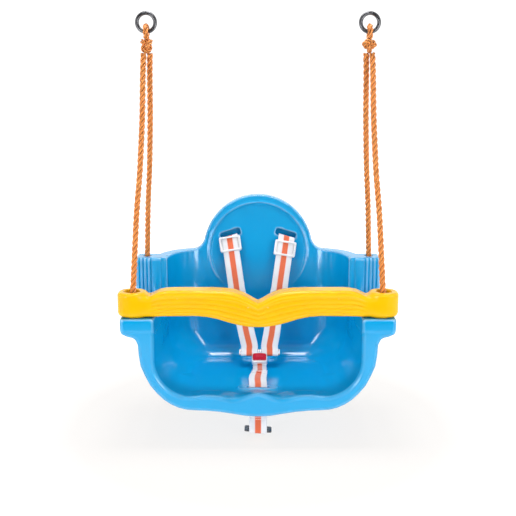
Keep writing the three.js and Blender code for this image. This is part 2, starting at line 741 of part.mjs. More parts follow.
for (const [name, side] of [['left', -1], ['right', 1]]) {
  add(`hanging_ring_${name}`, hangingRing(side), STEEL, 0.3, 1);
  add(`ring_knot_${name}`, ringKnot(side), ORANGE, 0.8);
  add(`front_rope_${name}`, rope((z) => frontRopeAt(side, z), FRONT_KNOT_Z), ORANGE, 0.8);
  add(`rear_rope_${name}`, rope((z) => rearRopeAt(side, z), REAR_KNOT_Z), ORANGE, 0.8);
  add(`front_rope_knot_${name}`, endKnot(frontRopeAt(side, FRONT_KNOT_Z)), ORANGE, 0.8);
  add(`rear_rope_knot_${name}`, endKnot(rearRopeAt(side, REAR_KNOT_Z)), ORANGE, 0.8);
  add(`buckle_tongue_${name}`, buckleTongue(side), STEEL, 0.3, 1);
  const at = [-side * BACK_KEEPER.x, BACK_KEEPER.y, BACK_KEEPER.z];
  add(`strap_keeper_${name}`, steelKeeper(at, [0, 0, 1], [0, -1, 0]), STEEL, 0.3, 1);
}

export default group;
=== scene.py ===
"""Toddler bucket swing: finished model on the CAD frame, with camera, light and backdrop."""
import math

import bpy
import numpy as np
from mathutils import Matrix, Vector


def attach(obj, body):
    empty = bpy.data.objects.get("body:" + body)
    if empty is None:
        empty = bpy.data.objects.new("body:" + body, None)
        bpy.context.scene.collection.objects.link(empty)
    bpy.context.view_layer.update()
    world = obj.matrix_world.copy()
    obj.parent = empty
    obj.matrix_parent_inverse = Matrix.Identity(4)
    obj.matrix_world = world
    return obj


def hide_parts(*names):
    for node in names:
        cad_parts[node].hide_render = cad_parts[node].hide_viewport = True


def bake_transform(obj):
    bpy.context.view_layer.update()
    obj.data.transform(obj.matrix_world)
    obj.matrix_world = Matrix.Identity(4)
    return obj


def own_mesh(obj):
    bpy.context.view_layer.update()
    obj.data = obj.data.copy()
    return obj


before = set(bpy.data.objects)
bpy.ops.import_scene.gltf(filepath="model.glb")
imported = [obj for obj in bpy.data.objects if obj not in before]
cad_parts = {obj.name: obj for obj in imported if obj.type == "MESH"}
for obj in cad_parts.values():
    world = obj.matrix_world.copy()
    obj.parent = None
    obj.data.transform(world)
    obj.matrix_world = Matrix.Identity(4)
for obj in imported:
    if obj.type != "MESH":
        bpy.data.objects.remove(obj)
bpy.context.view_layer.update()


# Shapes are written in a seat frame: millimetres, Y=0 at the front rope holes, Z=0 at the top of
# the bar's end bosses. row() turns them into the shared frame: metres, origin between the rings.
RING_Y = 95.0
RING_WIRE_Z = 385.6
ORIGIN = np.array([0.0, RING_Y, RING_WIRE_Z])


def row(points):
    return (np.asarray(points, float) - ORIGIN) / 1000.0


# --- driving dimensions, millimetres ---
WALL = 4.0
FRONT_Y = -24.0
RIM_DEPTH = 14.0
RIM_ROUND = 6.5
RIM_SKIN = 6.0
FLOOR_Z = -161.0
SIDE_X = 157.0
SIDE_TAPER = 0.04
CORNER_R = 57.0
PLAN_R = 60.0
PLAN_CENTRE_Y = 130.0
BACK_Y = 190.0
CREASE_R = 22.0
CREASE_END_X = (80.0, 130.0)
CREASE_START_Y = (60.0, 140.0)
BACK_LEAN = 0.0926
LEAN_START_Y = 60.0
LEAN_START_Z = -136.0
LEDGE_Z = -38.6
LEDGE_X = 208.0
LEDGE_LIP = 28.0
LIP_SKIN = 3.6
BELOW_LEDGE = -90.0
LEDGE_END_Y = 134.0
SHOULDER_Z = 25.0
SHOULDER_X = 204.0
SHOULDER_Y = (130.0, 172.0)
SHOULDER_ROOM_Y = (135.5, 168.0)
HEAD_R = 95.0
HEAD_Z = 24.5
HEAD_FILLET_R = 20.0
BACK_LIP = 18.0
RECESS_R = 82.0
RECESS_Z = 22.0
RECESS_DEPTH = 1.7
RECESS_BEAD = (3.2, 2.0, 0.9)
RECESS_FADE_Z = (-45.0, 5.0)
SLOT_X = 48.0
SLOT_Z = 52.0
SLOT_HALF = (18.0, 6.0)
SLOT_TILT = math.radians(-17.0)
CROTCH_SLOT_X = 17.5
CROTCH_SLOT_Y = (16.0, 24.5)
BOSS_X = 190.6
BOSS_R = 22.0
BOSS_HEIGHT = 38.0
BORE_R = 10.4
BORE_LIP_R = 12.0
BOSS_POWER = 2.7
BAR_HALF_DEPTH = 18.5
BAR_CROWN = 1.2
GROOVE_LEVELS = (0.2, 0.37, 0.54, 0.71, 0.88)
GROOVE_WIDTH = 1.5
GROOVE_DEPTH = 1.2
GROOVE_END_X = (150.0, 166.0)
BAR_SKIN = 3.2
BAR_ROOM_X = 160.0
ROPE_D = 9.6
ROPE_HOLE_R = 6.8
RING_X = 171.5
ROPE_TOP_Z = 353.4
ROPE_PIVOT_Z = -20.0
END_KNOT_R = 10.5
WEB_W = 28.0
WEB_T = 1.6
SIDES = ((-1.0, "left"), (1.0, "right"))


# --- camera ---
def add_camera():
    data = bpy.data.cameras.new("camera")
    data.lens = 60.0
    data.sensor_width = 36.0
    data.clip_end = 50.0
    camera = bpy.data.objects.new("camera", data)
    camera.location = row([0.0, -1267.0, 304.0])
    camera.rotation_euler = (math.radians(90.0 - 11.3), 0.0, 0.0)
    bpy.context.scene.collection.objects.link(camera)
    bpy.context.scene.camera = camera


add_camera()


# --- mesh helpers ---
def mesh_object(name, vertices, faces, smooth=True):
    mesh = bpy.data.meshes.new(name)
    mesh.from_pydata([tuple(v) for v in vertices], [], [tuple(f) for f in faces])
    mesh.update()
    if smooth:
        mesh.shade_smooth()
    obj = bpy.data.objects.new(name, mesh)
    bpy.context.scene.collection.objects.link(obj)
    return obj


def unit(v):
    v = np.asarray(v, float)
    return v / np.maximum(np.linalg.norm(v, axis=-1, keepdims=True), 1e-12)


# --- signed distance helpers: negative inside, millimetres ---
def round_max(a, b, r):
    u = np.maximum(a + r, 0.0)
    v = np.maximum(b + r, 0.0)
    return np.minimum(-r, np.maximum(a, b)) + np.sqrt(u * u + v * v)


def round_min(a, b, r):
    return -round_max(-a, -b, r)


def ease(lo, hi, x):
    """0 below lo, 1 above hi and a smooth rise between."""
    t = np.clip((x - lo) / (hi - lo), 0.0, 1.0)
    return t * t * (3.0 - 2.0 * t)


def slab(x, lo, hi):
    return np.maximum(lo - x, x - hi)


def hump(x, centre, width, height):
    """A smooth bell of the given height."""
    return height * np.exp(-((x - centre) / width) ** 2)


def disc(x, z, cx, cz, r):
    return np.sqrt((x - cx) ** 2 + (z - cz) ** 2) - r


def polygon_distance(px, pz, points):
    """Signed distance of (px, pz) to a closed outline, negative inside."""
    px, pz = np.broadcast_arrays(px, pz)
    best = np.full(px.shape, 1e18)
    inside = np.zeros(px.shape, bool)
    for (ax, az), (bx, bz) in zip(points, points[1:] + points[:1]):
        ex, ez = bx - ax, bz - az
        wx, wz = px - ax, pz - az
        t = np.clip((wx * ex + wz * ez) / (ex * ex + ez * ez), 0.0, 1.0)
        best = np.minimum(best, (wx - ex * t) ** 2 + (wz - ez * t) ** 2)
        crosses = (az > pz) != (bz > pz)
        if ez != 0.0:
            inside ^= crosses & (px < ax + (pz - az) * ex / ez)
    d = np.sqrt(best)
    return np.where(inside, -d, d)


def field_gradient(field, p, h=0.05):
    grads = []
    for axis in range(3):
        step = np.zeros(3)
        step[axis] = h
        a = p + step
        b = p - step
        grads.append((field(a[:, 0], a[:, 1], a[:, 2]) - field(b[:, 0], b[:, 1], b[:, 2])) / (2 * h))
    return np.stack(grads, axis=1)


def snap_to_surface(field, p, limit, rounds=3):
    for _ in range(rounds):
        value = field(p[:, 0], p[:, 1], p[:, 2])
        g = field_gradient(field, p)
        move = -(value / np.maximum((g * g).sum(1), 1e-3))[:, None] * g
        size = np.linalg.norm(move, axis=1, keepdims=True)
        p = p + move * np.minimum(1.0, limit / np.maximum(size, 1e-9))
    return p


def crossed_cells(inside):
    """Cells of the grid whose eight corners aren't all on one side of the surface."""
    nx, ny, nz = inside.shape
    count = np.zeros((nx - 1, ny - 1, nz - 1), np.uint8)
    for dx, dy, dz in np.ndindex(2, 2, 2):
        count += inside[dx:nx - 1 + dx, dy:ny - 1 + dy, dz:nz - 1 + dz]
    return np.argwhere((count > 0) & (count < 8))


def net_vertices(values, cells):
    """For each cell, the mean of the points where the surface crosses its twelve edges."""
    total = np.zeros((len(cells), 3))
    hits = np.zeros(len(cells))
    for axis in range(3):
        others = [k for k in range(3) if k != axis]
        for offset in np.ndindex(2, 2):
            start = cells.copy()
            start[:, others] += offset
            end = start.copy()
            end[:, axis] += 1
            va = values[tuple(start.T)]
            vb = values[tuple(end.T)]
            cross = (va < 0) != (vb < 0)
            point = start.astype(float)
            point[:, axis] += np.where(cross, va / np.where(cross, va - vb, 1.0), 0.0)
            total += np.where(cross[:, None], point, 0.0)
            hits += cross
    return total / hits[:, None]


def net_quads(inside, index):
    """A quad round each grid edge that the surface crosses, facing outwards."""
    quads = []
    for order in ((0, 1, 2), (1, 2, 0), (2, 0, 1)):
        a = np.moveaxis(inside, order, (0, 1, 2))
        change = a[:-1, 1:-1, 1:-1] != a[1:, 1:-1, 1:-1]
        sign = a[:-1, 1:-1, 1:-1][change]
        base = np.moveaxis(index, order, (0, 1, 2))
        i, j, k = np.argwhere(change).T
        ring = [base[i, j, k], base[i, j + 1, k], base[i, j + 1, k + 1], base[i, j, k + 1]]
        quad = np.stack(ring, axis=1)
        quad[~sign] = quad[~sign][:, ::-1]
        quads.append(quad)
    return np.concatenate(quads)


def surface_nets(values, axes):
    """Vertices and quads of the zero surface of a grid of values."""
    inside = values < 0.0
    cells = crossed_cells(inside)
    index = np.full([n - 1 for n in values.shape], -1, np.int64)
    index[tuple(cells.T)] = np.arange(len(cells))
    places = net_vertices(values, cells)
    vertices = [np.interp(at, np.arange(len(axis)), axis) for at, axis in zip(places.T, axes)]
    return np.stack(vertices, axis=1), net_quads(inside, index)


def spaced(*spans):
    """Grid positions from spans of (from, to, step), each starting where the last ended."""
    parts = [np.arange(lo, hi - 1e-6, step) for lo, hi, step in spans]
    return np.concatenate([*parts, [spans[-1][1]]])


def even_axes(lo, hi, step):
    return [spaced((a, b, step)) for a, b in zip(lo, hi)]


def moulded(name, field, axes, mirror=False):
    """An object whose surface is the field's zero surface, with exact normals."""
    xs, ys, zs = axes
    values = field(xs[:, None, None], ys[None, :, None], zs[None, None, :])
    if mirror:
        values = np.concatenate([values[::-1], values])
        xs = np.concatenate([-xs[::-1], xs])
    vertices, quads = surface_nets(values, (xs, ys, zs))
    finest = min(np.diff(axis).min() for axis in (ys, zs))
    vertices = snap_to_surface(field, vertices, 0.45 * finest)
    normals = unit(field_gradient(field, vertices))
    obj = mesh_object(name, row(vertices), quads)
    obj.data.normals_split_custom_set_from_vertices([tuple(n) for n in normals])
    return obj


# --- seat shell ---
FRONT_RIGHT = [
    (0, -30), (203, -38.0), (206.8, -40.0), (208, -44), (207.8, -53), (205.8, -60), (201.5, -65),
    (196, -67.3), (190, -68.4), (185.5, -71.5), (182, -79), (181, -96), (178.5, -113), (172, -129),
    (164.5, -144), (154, -157), (144, -167), (133, -174.5), (121, -180), (109, -183),
    (94, -184), (78, -184.6), (58, -186.5), (39, -189.5), (20, -192.8), (0, -194), (-40, -194), (-40, -30),
]


RIM_DIP = (38.0, 20.0, -6.5)
RIM_POMMEL = (0.0, 15.0, 5.0)
RIM_FADE = 22.0
PLATFORM_EDGE_Y = 3.0
PLATFORM_NOTCH = (24.0, 12.0, -12.0)
PLATFORM_HEIGHT = 2.6
PLATFORM_END_X = (78.0, 112.0)
SURROUND_Y = 20.0
SURROUND_HALF_X = 22.0
SURROUND_R = 10.5
SURROUND_HEIGHT = 2.0


def rim_bump(x):
    """Height that the front edge of the floor stands above or below the plain floor."""
    return hump(x, *RIM_DIP) + hump(x, *RIM_POMMEL)


def floor_steps(x, y):
    """The low platform behind the front edge and the raised surround of the crotch strap's slot."""
    edge = PLATFORM_EDGE_Y + hump(x, *PLATFORM_NOTCH)
    platform = (1.0 - ease(-2.2, 2.2, y - edge)) * (1.0 - ease(*PLATFORM_END_X, x))
    surround = disc(np.maximum(x - SURROUND_HALF_X, 0.0), y, 0.0, SURROUND_Y, SURROUND_R)
    return PLATFORM_HEIGHT * platform + SURROUND_HEIGHT * (1.0 - ease(-2.0, 2.0, surround))


def leaned(y, z):
    """Depth that a point has on the upright backrest before it was tipped back."""
    rise = np.maximum(0.0, z - LEAN_START_Z)
    lean = BACK_LEAN * rise
    share = np.clip((y - lean - LEAN_START_Y) / (BACK_Y - LEAN_START_Y), 0.0, 1.0)
    return y - lean * share


def cavity(x, y, z):
    """Distance field of the room inside the bucket, negative where the child sits."""
    half = SIDE_X - SIDE_TAPER * (np.clip(y, FRONT_Y - 30, PLAN_CENTRE_Y + 20) - FRONT_Y)
    walls = round_max(x - half, y - BACK_Y, PLAN_R)
    near_front = np.exp(-np.maximum(y - FRONT_Y, 0.0) / RIM_FADE)
    floor = (FLOOR_Z + rim_bump(x) * near_front + floor_steps(x, y)) - z
    roundness = np.maximum(ease(*CREASE_END_X, x), 1.0 - ease(*CREASE_START_Y, y))
    radius = CREASE_R + (CORNER_R - CREASE_R) * roundness
    return round_max(walls, floor, radius)


def back_outline(x, z):
    return round_min(z - SHOULDER_Z, disc(x, z, 0.0, HEAD_Z, HEAD_R), HEAD_FILLET_R)


def recess(x, z):
    """Depth of the disc sunk into the backrest, less the bead that runs round it."""
    ring = disc(x, z, 0.0, RECESS_Z, RECESS_R)
    step = RECESS_DEPTH * (1.0 - ease(-1.6, 1.6, ring))
    return ease(*RECESS_FADE_Z, z) * (step - hump(ring, *RECESS_BEAD))


def box_field(x, y, z, bx, by, bz, r):
    d = round_max(slab(x, *bx), slab(y, *by), r)
    return round_max(d, slab(z, *bz), r)


RIBS_X = 178.0
RIB_PITCH = 6.2
RIB_COUNT = 4.0
BROAD_RIB_X = 169.0
BROAD_RIB_R = 8.6
RIB_FOOT = 1.2
RIB_HEIGHT = 3.2


def shoulder_front(x):
    """Four narrow ribs and a broad inner one."""
    ribs = np.abs(np.sin(np.pi * np.clip((x - RIBS_X) / RIB_PITCH, 0.0, RIB_COUNT))) ** 0.6
    broad = np.sqrt(np.clip(1.0 - ((x - BROAD_RIB_X) / BROAD_RIB_R) ** 2, 0.0, 1.0))
    return SHOULDER_Y[0] + RIB_FOOT - RIB_HEIGHT * np.maximum(ribs, broad)


def behind_skin(deep):
    """Keeps a block's hollow clear of the bucket wall."""
    return WALL - deep


def front_rim(x, y, z, deep):
    contour = polygon_distance(x, z, FRONT_RIGHT)
    skin = round_max(contour, slab(y, FRONT_Y, FRONT_Y + RIM_DEPTH), RIM_ROUND)
    skin = round_max(skin, z - LEDGE_Z, 3.0)
    skin = round_max(skin, -deep, RIM_ROUND)
    hollow = np.maximum(contour + RIM_SKIN, (FRONT_Y + RIM_ROUND) - y)
    return np.maximum(skin, -np.maximum(hollow, behind_skin(deep)))


def ledge_block(x, y, z, deep):
    plan = round_max(x - LEDGE_X, slab(y, FRONT_Y, LEDGE_END_Y), 6.0)
    skin = round_max(round_max(plan, (LEDGE_Z - LEDGE_LIP) - z, 11.0), z - LEDGE_Z, 2.2)
    skin = round_max(np.maximum(skin, 100.0 - x), -deep, 4.5)
    hollow = box_field(x, y, z, (90.0, LEDGE_X - LIP_SKIN), (FRONT_Y + WALL, LEDGE_END_Y + 20.0),
                       (BELOW_LEDGE, LEDGE_Z - WALL), 2.0)
    return np.maximum(skin, -np.maximum(hollow, behind_skin(deep)))


def shoulder_block(x, y, z, deep):
    plan = round_max(slab(x, 90.0, SHOULDER_X), np.maximum(shoulder_front(x) - y, y - SHOULDER_Y[1]), 4.0)
    plan = round_max(plan, -deep, 5.0)
    skin = round_max(plan, slab(z, LEDGE_Z - WALL, SHOULDER_Z), 4.0)
    hollow = box_field(x, y, z, (80.0, SHOULDER_X - WALL), SHOULDER_ROOM_Y,
                       (BELOW_LEDGE, SHOULDER_Z - WALL), 3.0)
    return np.maximum(skin, -np.maximum(hollow, behind_skin(deep)))


def back_rim(x, y, z, deep):
    out = back_outline(x, z)
    skin = round_max(out, deep - (WALL + BACK_LIP), 1.6)
    skin = round_max(skin, -deep, 3.5)
    hollow = np.maximum(out + LIP_SKIN, behind_skin(deep))
    return np.maximum(np.maximum(skin, -hollow), PLAN_CENTRE_Y + 2.0 - y)


HOOD = ((24.0, 73.0), (195.0, 231.9), (38.5, 66.0))
HOOD_SKIN = 3.5


def slot_hood(x, y, z, deep):
    """A scoop behind each strap slot, open below."""
    (x0, x1), (y0, y1), (z0, z1) = HOOD
    skin = box_field(x, y, z, *HOOD, 4.0)
    room = box_field(x, y, z, (x0 + HOOD_SKIN, x1 - HOOD_SKIN), (y0 - 5.0, y1 - HOOD_SKIN),
                     (z0 - 18.5, z1 - HOOD_SKIN), 2.5)
    return np.maximum(np.maximum(skin, -room), WALL / 2 - deep)


def bucket_wall(x, y, z, yb, deep):
    outline = back_outline(x, z)
    profile = round_min(z - LEDGE_Z, PLAN_CENTRE_Y + 9.0 - yb, 12.0)
    wall = np.maximum(deep - WALL, FRONT_Y + 6.5 - y)
    wall = round_max(wall, -deep, 0.5)
    return round_max(wall, np.maximum(profile, outline), 1.8)


def seat_solid(x, y, z):
    yb = leaned(y, z)
    deep = cavity(x, yb, z) - recess(x, z) * ease(150.0, 180.0, yb)
    body = np.minimum(bucket_wall(x, y, z, yb, deep), front_rim(x, y, z, deep))
    body = round_min(body, ledge_block(x, y, z, deep), 1.0)
    body = round_min(body, shoulder_block(x, y, z, deep), 1.0)
    body = round_min(body, slot_hood(x, y, z, deep), 1.0)
    return np.minimum(body, back_rim(x, y, z, deep))


def seat_cuts(x, y, z):
    c, s = math.cos(SLOT_TILT), math.sin(SLOT_TILT)
    u = (x - SLOT_X) * c + (z - SLOT_Z) * s
    w = -(x - SLOT_X) * s + (z - SLOT_Z) * c
    slot = round_max(np.abs(u) - SLOT_HALF[0], np.abs(w) - SLOT_HALF[1], 4.5)
    slot = np.maximum(slot, slab(y, 150.0, 221.0))
    crotch = round_max(x - CROTCH_SLOT_X, slab(y, *CROTCH_SLOT_Y), 3.0)
    crotch = np.maximum(crotch, z + 140.0)
    tab = np.maximum(disc(x, y, *TAB_HOLE, ROPE_HOLE_R), slab(z, -60.0, -20.0))
    top = np.maximum(disc(x, y, *TOP_HOLE, ROPE_HOLE_R), 10.0 - z)
    return np.minimum(np.minimum(slot, crotch), np.minimum(tab, top))


def seat_field(x, y, z):
    x = np.abs(x)
    return round_max(seat_solid(x, y, z), -seat_cuts(x, y, z), 1.6)


# --- rope routes ---
def on_line(a, b, z):
    a, b = np.asarray(a, float), np.asarray(b, float)
    t = (np.asarray(z, float) - a[2]) / (b[2] - a[2])
    return a + (b - a) * np.asarray(t)[..., None]


def front_rope_at(side, z):
    return on_line([side * BOSS_X, 0, ROPE_PIVOT_Z], [side * (RING_X + 4.5), RING_Y - 2.5, ROPE_TOP_Z], z)


def rear_rope_at(side, z):
    return on_line([side * 186.0, 152.0, SHOULDER_Z], [side * (RING_X - 4.5), RING_Y + 2.5, ROPE_TOP_Z], z)


TAB_HOLE = front_rope_at(1.0, LEDGE_Z - WALL / 2)[:2]
TOP_HOLE = rear_rope_at(1.0, SHOULDER_Z - WALL / 2)[:2]


# --- safety bar ---
BAR_TOP = [
    (0, -16.5), (7, -13), (15, -8), (25, -3), (37, 0.8), (52, 2.6), (70, 3.4), (100, 3.4),
    (124, 3.4), (139, 3.0), (150, 0.8), (157, -2.6), (163, -5.7), (190, -5.7),
]
BAR_BOTTOM = [
    (0, -54), (15, -53.2), (30, -50.5), (45, -46.5), (60, -41.5), (76, -38), (95, -36.4),
    (120, -36.6), (150, -37.2), (190, -37.6),
]


def curve_height(x, points):
    xs, zs = zip(*points)
    fine = np.linspace(0.0, xs[-1], 400)
    smooth = np.interp(fine, xs, zs)
    kernel = np.hanning(15)
    padded = np.concatenate([smooth[7:0:-1], smooth, np.full(7, smooth[-1])])
    smooth = np.convolve(padded, kernel / kernel.sum(), mode="valid")
    return np.interp(x, fine, smooth)


def bar_field(x, y, z):
    x = np.abs(x)
    top = curve_height(x, BAR_TOP)
    bottom = curve_height(x, BAR_BOTTOM)
    share = (z - bottom) / (top - bottom)
    height = top - bottom
    face = BAR_HALF_DEPTH + BAR_CROWN * np.clip(1.0 - (2 * share - 1.0) ** 2, 0.0, 1.0)
    grooves = sum(hump((share - level) * height, 0.0, GROOVE_WIDTH, GROOVE_DEPTH)
                  for level in GROOVE_LEVELS)
    depth = np.abs(y) - face + grooves * (1.0 - ease(*GROOVE_END_X, x))
    slope = np.maximum(z - top, bottom - z) * 0.93
    body = round_max(slope, depth, 7.5)
    body = np.maximum(body, x - BOSS_X)
    squarish = (np.abs(x - BOSS_X) ** BOSS_POWER + np.abs(y) ** BOSS_POWER) ** (1 / BOSS_POWER)
    boss = round_max(round_max(squarish - BOSS_R, -BOSS_HEIGHT - z, 8.5), z, 5.0)
    whole = round_min(body, boss, 5.0)
    funnel = BORE_R + (BORE_LIP_R - BORE_R) * ease(-9.0, 0.0, slab(z, -BOSS_HEIGHT, 0.0))
    solid = round_max(whole, -disc(x, y, BOSS_X, 0.0, funnel), 1.6)
    room = round_max(np.maximum(z - top + BAR_SKIN, x - BAR_ROOM_X), np.abs(y) - face + BAR_SKIN + 1.0, 3.0)
    return np.maximum(solid, -room)


# --- materials ---
def new_material(name):
    material = bpy.data.materials.new(name)
    material.use_nodes = True
    return material, material.node_tree, material.node_tree.nodes["Principled BSDF"]


def set_input(shader, **values):
    for key, value in values.items():
        shader.inputs[key.replace("_", " ")].default_value = value


def noise(tree, vector, scale, detail=4.0, roughness=0.5):
    texture = tree.nodes.new("ShaderNodeTexNoise")
    set_input(texture, Scale=scale, Detail=detail, Roughness=roughness)
    tree.links.new(vector, texture.inputs["Vector"])
    return texture.outputs["Fac"]


def object_coords(tree):
    return tree.nodes.new("ShaderNodeTexCoord").outputs["Object"]


def ramp(tree, source, low, high, out_low, out_high):
    node = tree.nodes.new("ShaderNodeMapRange")
    set_input(node, From_Min=low, From_Max=high, To_Min=out_low, To_Max=out_high)
    tree.links.new(source, node.inputs["Value"])
    return node.outputs["Result"]


def mix(tree, factor, a, b):
    node = tree.nodes.new("ShaderNodeMix")
    node.data_type = "RGBA"
    if isinstance(factor, float):
        node.inputs["Factor"].default_value = factor
    else:
        tree.links.new(factor, node.inputs["Factor"])
    for socket, value in ((node.inputs["A"], a), (node.inputs["B"], b)):
        if isinstance(value, tuple):
            socket.default_value = (*value, 1.0)
        else:
            tree.links.new(value, socket)
    return node.outputs["Result"]


def bump(tree, height, strength, distance, normal=None):
    node = tree.nodes.new("ShaderNodeBump")
    set_input(node, Strength=strength, Distance=distance)
    tree.links.new(height, node.inputs["Height"])
    if normal is not None:
        tree.links.new(normal, node.inputs["Normal"])
    return node.outputs["Normal"]


EDGE_POINTS = (0.51, 0.56)


def moulded_plastic(name, colour, pale, roughness=0.3, grain=0.1, gloss=0.4, edge_wear_and_glint=0.55):
    """Glossy moulded plastic: faint pebble grain, cloudy pigment, rubbed patches, and convex edges painted
    paler, partly as wear and partly as a painted highlight.
    """
    material, tree, shader = new_material(name)
    coords = object_coords(tree)
    cloud = noise(tree, coords, 14.0, 3.0)
    tint = ramp(tree, cloud, 0.35, 0.7, 0.0, 0.16)
    body = mix(tree, tint, colour, pale)
    # Convex edges are painted paler: partly wear, and partly a painted highlight that stands in for the
    # glints along the edges.
    pointiness = tree.nodes.new("ShaderNodeNewGeometry").outputs["Pointiness"]
    worn = ramp(tree, pointiness, *EDGE_POINTS, 0.0, edge_wear_and_glint)
    edge_wear_and_glint_colour = tuple(0.6 * value + 0.4 for value in pale)
    tree.links.new(mix(tree, worn, body, edge_wear_and_glint_colour), shader.inputs["Base Color"])
    rub = noise(tree, coords, 55.0, 5.0, 0.6)
    tree.links.new(ramp(tree, rub, 0.3, 0.75, roughness - 0.02, roughness + 0.05),
              shader.inputs["Roughness"])
    pebble = noise(tree, coords, 700.0, 1.0)
    flow = noise(tree, coords, 22.0, 1.0)
    first = bump(tree, flow, 0.02, 0.004)
    tree.links.new(bump(tree, pebble, grain, 0.0001, first), shader.inputs["Normal"])
    set_input(shader, IOR=1.5, Specular_IOR_Level=gloss, Coat_Weight=gloss / 2, Coat_Roughness=0.05)
    return material


BLUE = moulded_plastic("blue_plastic", (0.0, 0.325, 0.67), (0.003, 0.375, 0.71), 0.15, gloss=0.55)
YELLOW = moulded_plastic("yellow_plastic", (0.84, 0.46, 0.0), (0.88, 0.52, 0.004), 0.2, gloss=0.2,
                         edge_wear_and_glint=0.22)


def finish_moulded(obj, material, body, nodes):
    obj.data.materials.append(material)
    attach(obj, body)
    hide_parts(*nodes)


def build_seat():
    axes = (spaced((0.5, 154.0, 2.0), (154.0, 214.0, 1.1)),
            spaced((-30.0, 122.0, 2.0), (122.0, 136.0, 1.2), (136.0, 238.0, 2.0)),
            spaced((-200.0, 124.0, 1.9)))
    seat = moulded("moulded_seat", seat_field, axes, mirror=True)
    finish_moulded(seat, BLUE, "seat", ["seat_shell"])


def build_bar():
    axes = (spaced((0.5, 216.0, 1.5)), spaced((-26.0, 26.0, 1.1)), spaced((-60.0, 8.0, 0.8)))
    bar = moulded("moulded_bar", bar_field, axes, mirror=True)
    finish_moulded(bar, YELLOW, "safety_bar", ["safety_bar"])


build_seat()
build_bar()


# --- ropes: three laid strands, with the knots that end them ---
LAY_LENGTH = 29.0
STRAND_SIDES = 10
STRAND_SHARE = 0.232
KNOT_ROPE_D = 7.0
RING_BALL_ROPE_D = 7.8
EYE_ROPE_D = 8.8
EYE_R = 8.6
END_KNOT = (2.6, 3.2)
RING_KNOT = (2.9, 3.8)
RING_KNOT_DROP = 19.8


def arc_lengths(path):
    return np.concatenate([[0.0], np.cumsum(np.linalg.norm(np.diff(path, axis=0), axis=1))])


def resample(path, step, closed=False):
    p = np.asarray(path, float)
    if closed:
        p = np.vstack([p, p[:1]])
    s = arc_lengths(p)
    count = max(8, int(round(s[-1] / step)))
    at = np.linspace(0.0, s[-1], count + 1)
    out = np.stack([np.interp(at, s, p[:, k]) for k in range(3)], axis=1)
    return out[:-1] if closed else out


def tangents(path, closed=False):
    if closed:
        return unit(np.roll(path, -1, axis=0) - np.roll(path, 1, axis=0))
    return unit(np.gradient(path, axis=0))


def path_frames(path, closed=False):
    """Tangents and a pair of side vectors carried along the path without twisting."""
    tangent = tangents(path, closed)
    side = np.zeros_like(tangent)
    side[0] = unit(np.cross(tangent[0], [0.3, 1.0, 0.2]))
    for i in range(1, len(path)):
        v = side[i - 1] - tangent[i] * np.dot(side[i - 1], tangent[i])
        side[i] = v / np.linalg.norm(v)
    other = np.cross(tangent, side)
    if closed:
        v = side[-1] - tangent[0] * np.dot(side[-1], tangent[0])
        v /= np.linalg.norm(v)
        slip = math.atan2(np.dot(v, other[0]), np.dot(v, side[0]))
        turn = -slip * np.arange(len(path)) / len(path)
        c, s = np.cos(turn)[:, None], np.sin(turn)[:, None]
        side, other = side * c + other * s, other * c - side * s
    return tangent, side, other


def tube_faces(rings, sides, closed, offset):
    faces = []
    last = rings if closed else rings - 1
    for i in range(last):
        a, b = i * sides, ((i + 1) % rings) * sides
        for k in range(sides):
            j = (k + 1) % sides
            faces.append((offset + a + k, offset + a + j, offset + b + j, offset + b + k))
    if not closed:
        faces.append(tuple(offset + k for k in reversed(range(sides))))
        faces.append(tuple(offset + (rings - 1) * sides + k for k in range(sides)))
    return faces


def swept_tube(centre, tangent, normal, radius, sides):
    binormal = np.cross(tangent, normal)
    angle = np.linspace(0.0, 2 * math.pi, sides, endpoint=False)
    ring = normal[:, None, :] * np.cos(angle)[None, :, None]
    ring = ring + binormal[:, None, :] * np.sin(angle)[None, :, None]
    return centre[:, None, :] + ring * radius


def twisted_rope(name, path, diameter=ROPE_D, lay=LAY_LENGTH, closed=False):
    """A rope of three laid strands along the path, with a map of angle and length on each strand."""
    path = resample(path, 1.4 * diameter / ROPE_D, closed)
    tangent, side, other = path_frames(path, closed)
    s = arc_lengths(path)
    if closed:
        total = s[-1] + np.linalg.norm(path[0] - path[-1])
        lay = total / max(1, round(total / lay))
    strand_r = diameter * STRAND_SHARE
    helix_r = diameter / 2 - strand_r
    vertices, faces, around, along = [], [], [], []
    for k in range(3):
        phase = 2 * math.pi * (s / lay + k / 3.0)
        out = side * np.cos(phase)[:, None] + other * np.sin(phase)[:, None]
        centre = path + out * helix_r
        direction = tangents(centre, closed)
        normal = unit(out - direction * (out * direction).sum(1, keepdims=True))
        rings = swept_tube(centre, direction, normal, strand_r, STRAND_SIDES)
        faces += tube_faces(len(path), STRAND_SIDES, closed, len(vertices) * STRAND_SIDES)
        vertices += list(rings)
        around += [np.arange(STRAND_SIDES) / STRAND_SIDES] * len(path)
        along += [np.full(STRAND_SIDES, v) for v in s]
    obj = mesh_object(name, row(np.concatenate(vertices)), faces)
    store_value(obj, "around", np.concatenate(around))
    store_value(obj, "along", np.concatenate(along) / 1000.0)
    obj.data.materials.append(ROPE)
    return obj


def store_value(obj, name, values):
    attribute = obj.data.attributes.new(name, "FLOAT", "POINT")
    attribute.data.foreach_set("value", np.asarray(values, np.float32))


def attribute_value(tree, name):
    node = tree.nodes.new("ShaderNodeAttribute")
    node.attribute_name = name
    return node.outputs["Fac"]


def maths(tree, operation, a, b=None):
    node = tree.nodes.new("ShaderNodeMath")
    node.operation = operation
    for socket, value in zip(node.inputs, (a, b)):
        if value is None:
            continue
        if isinstance(value, (int, float)):
            socket.default_value = value
        else:
            tree.links.new(value, socket)
    return node.outputs["Value"]


def wave(tree, value, period):
    """0 to 1 to 0 once in each period."""
    turn = maths(tree, "MULTIPLY", value, 2 * math.pi / period)
    return maths(tree, "MULTIPLY_ADD", maths(tree, "SINE", turn), 0.5)


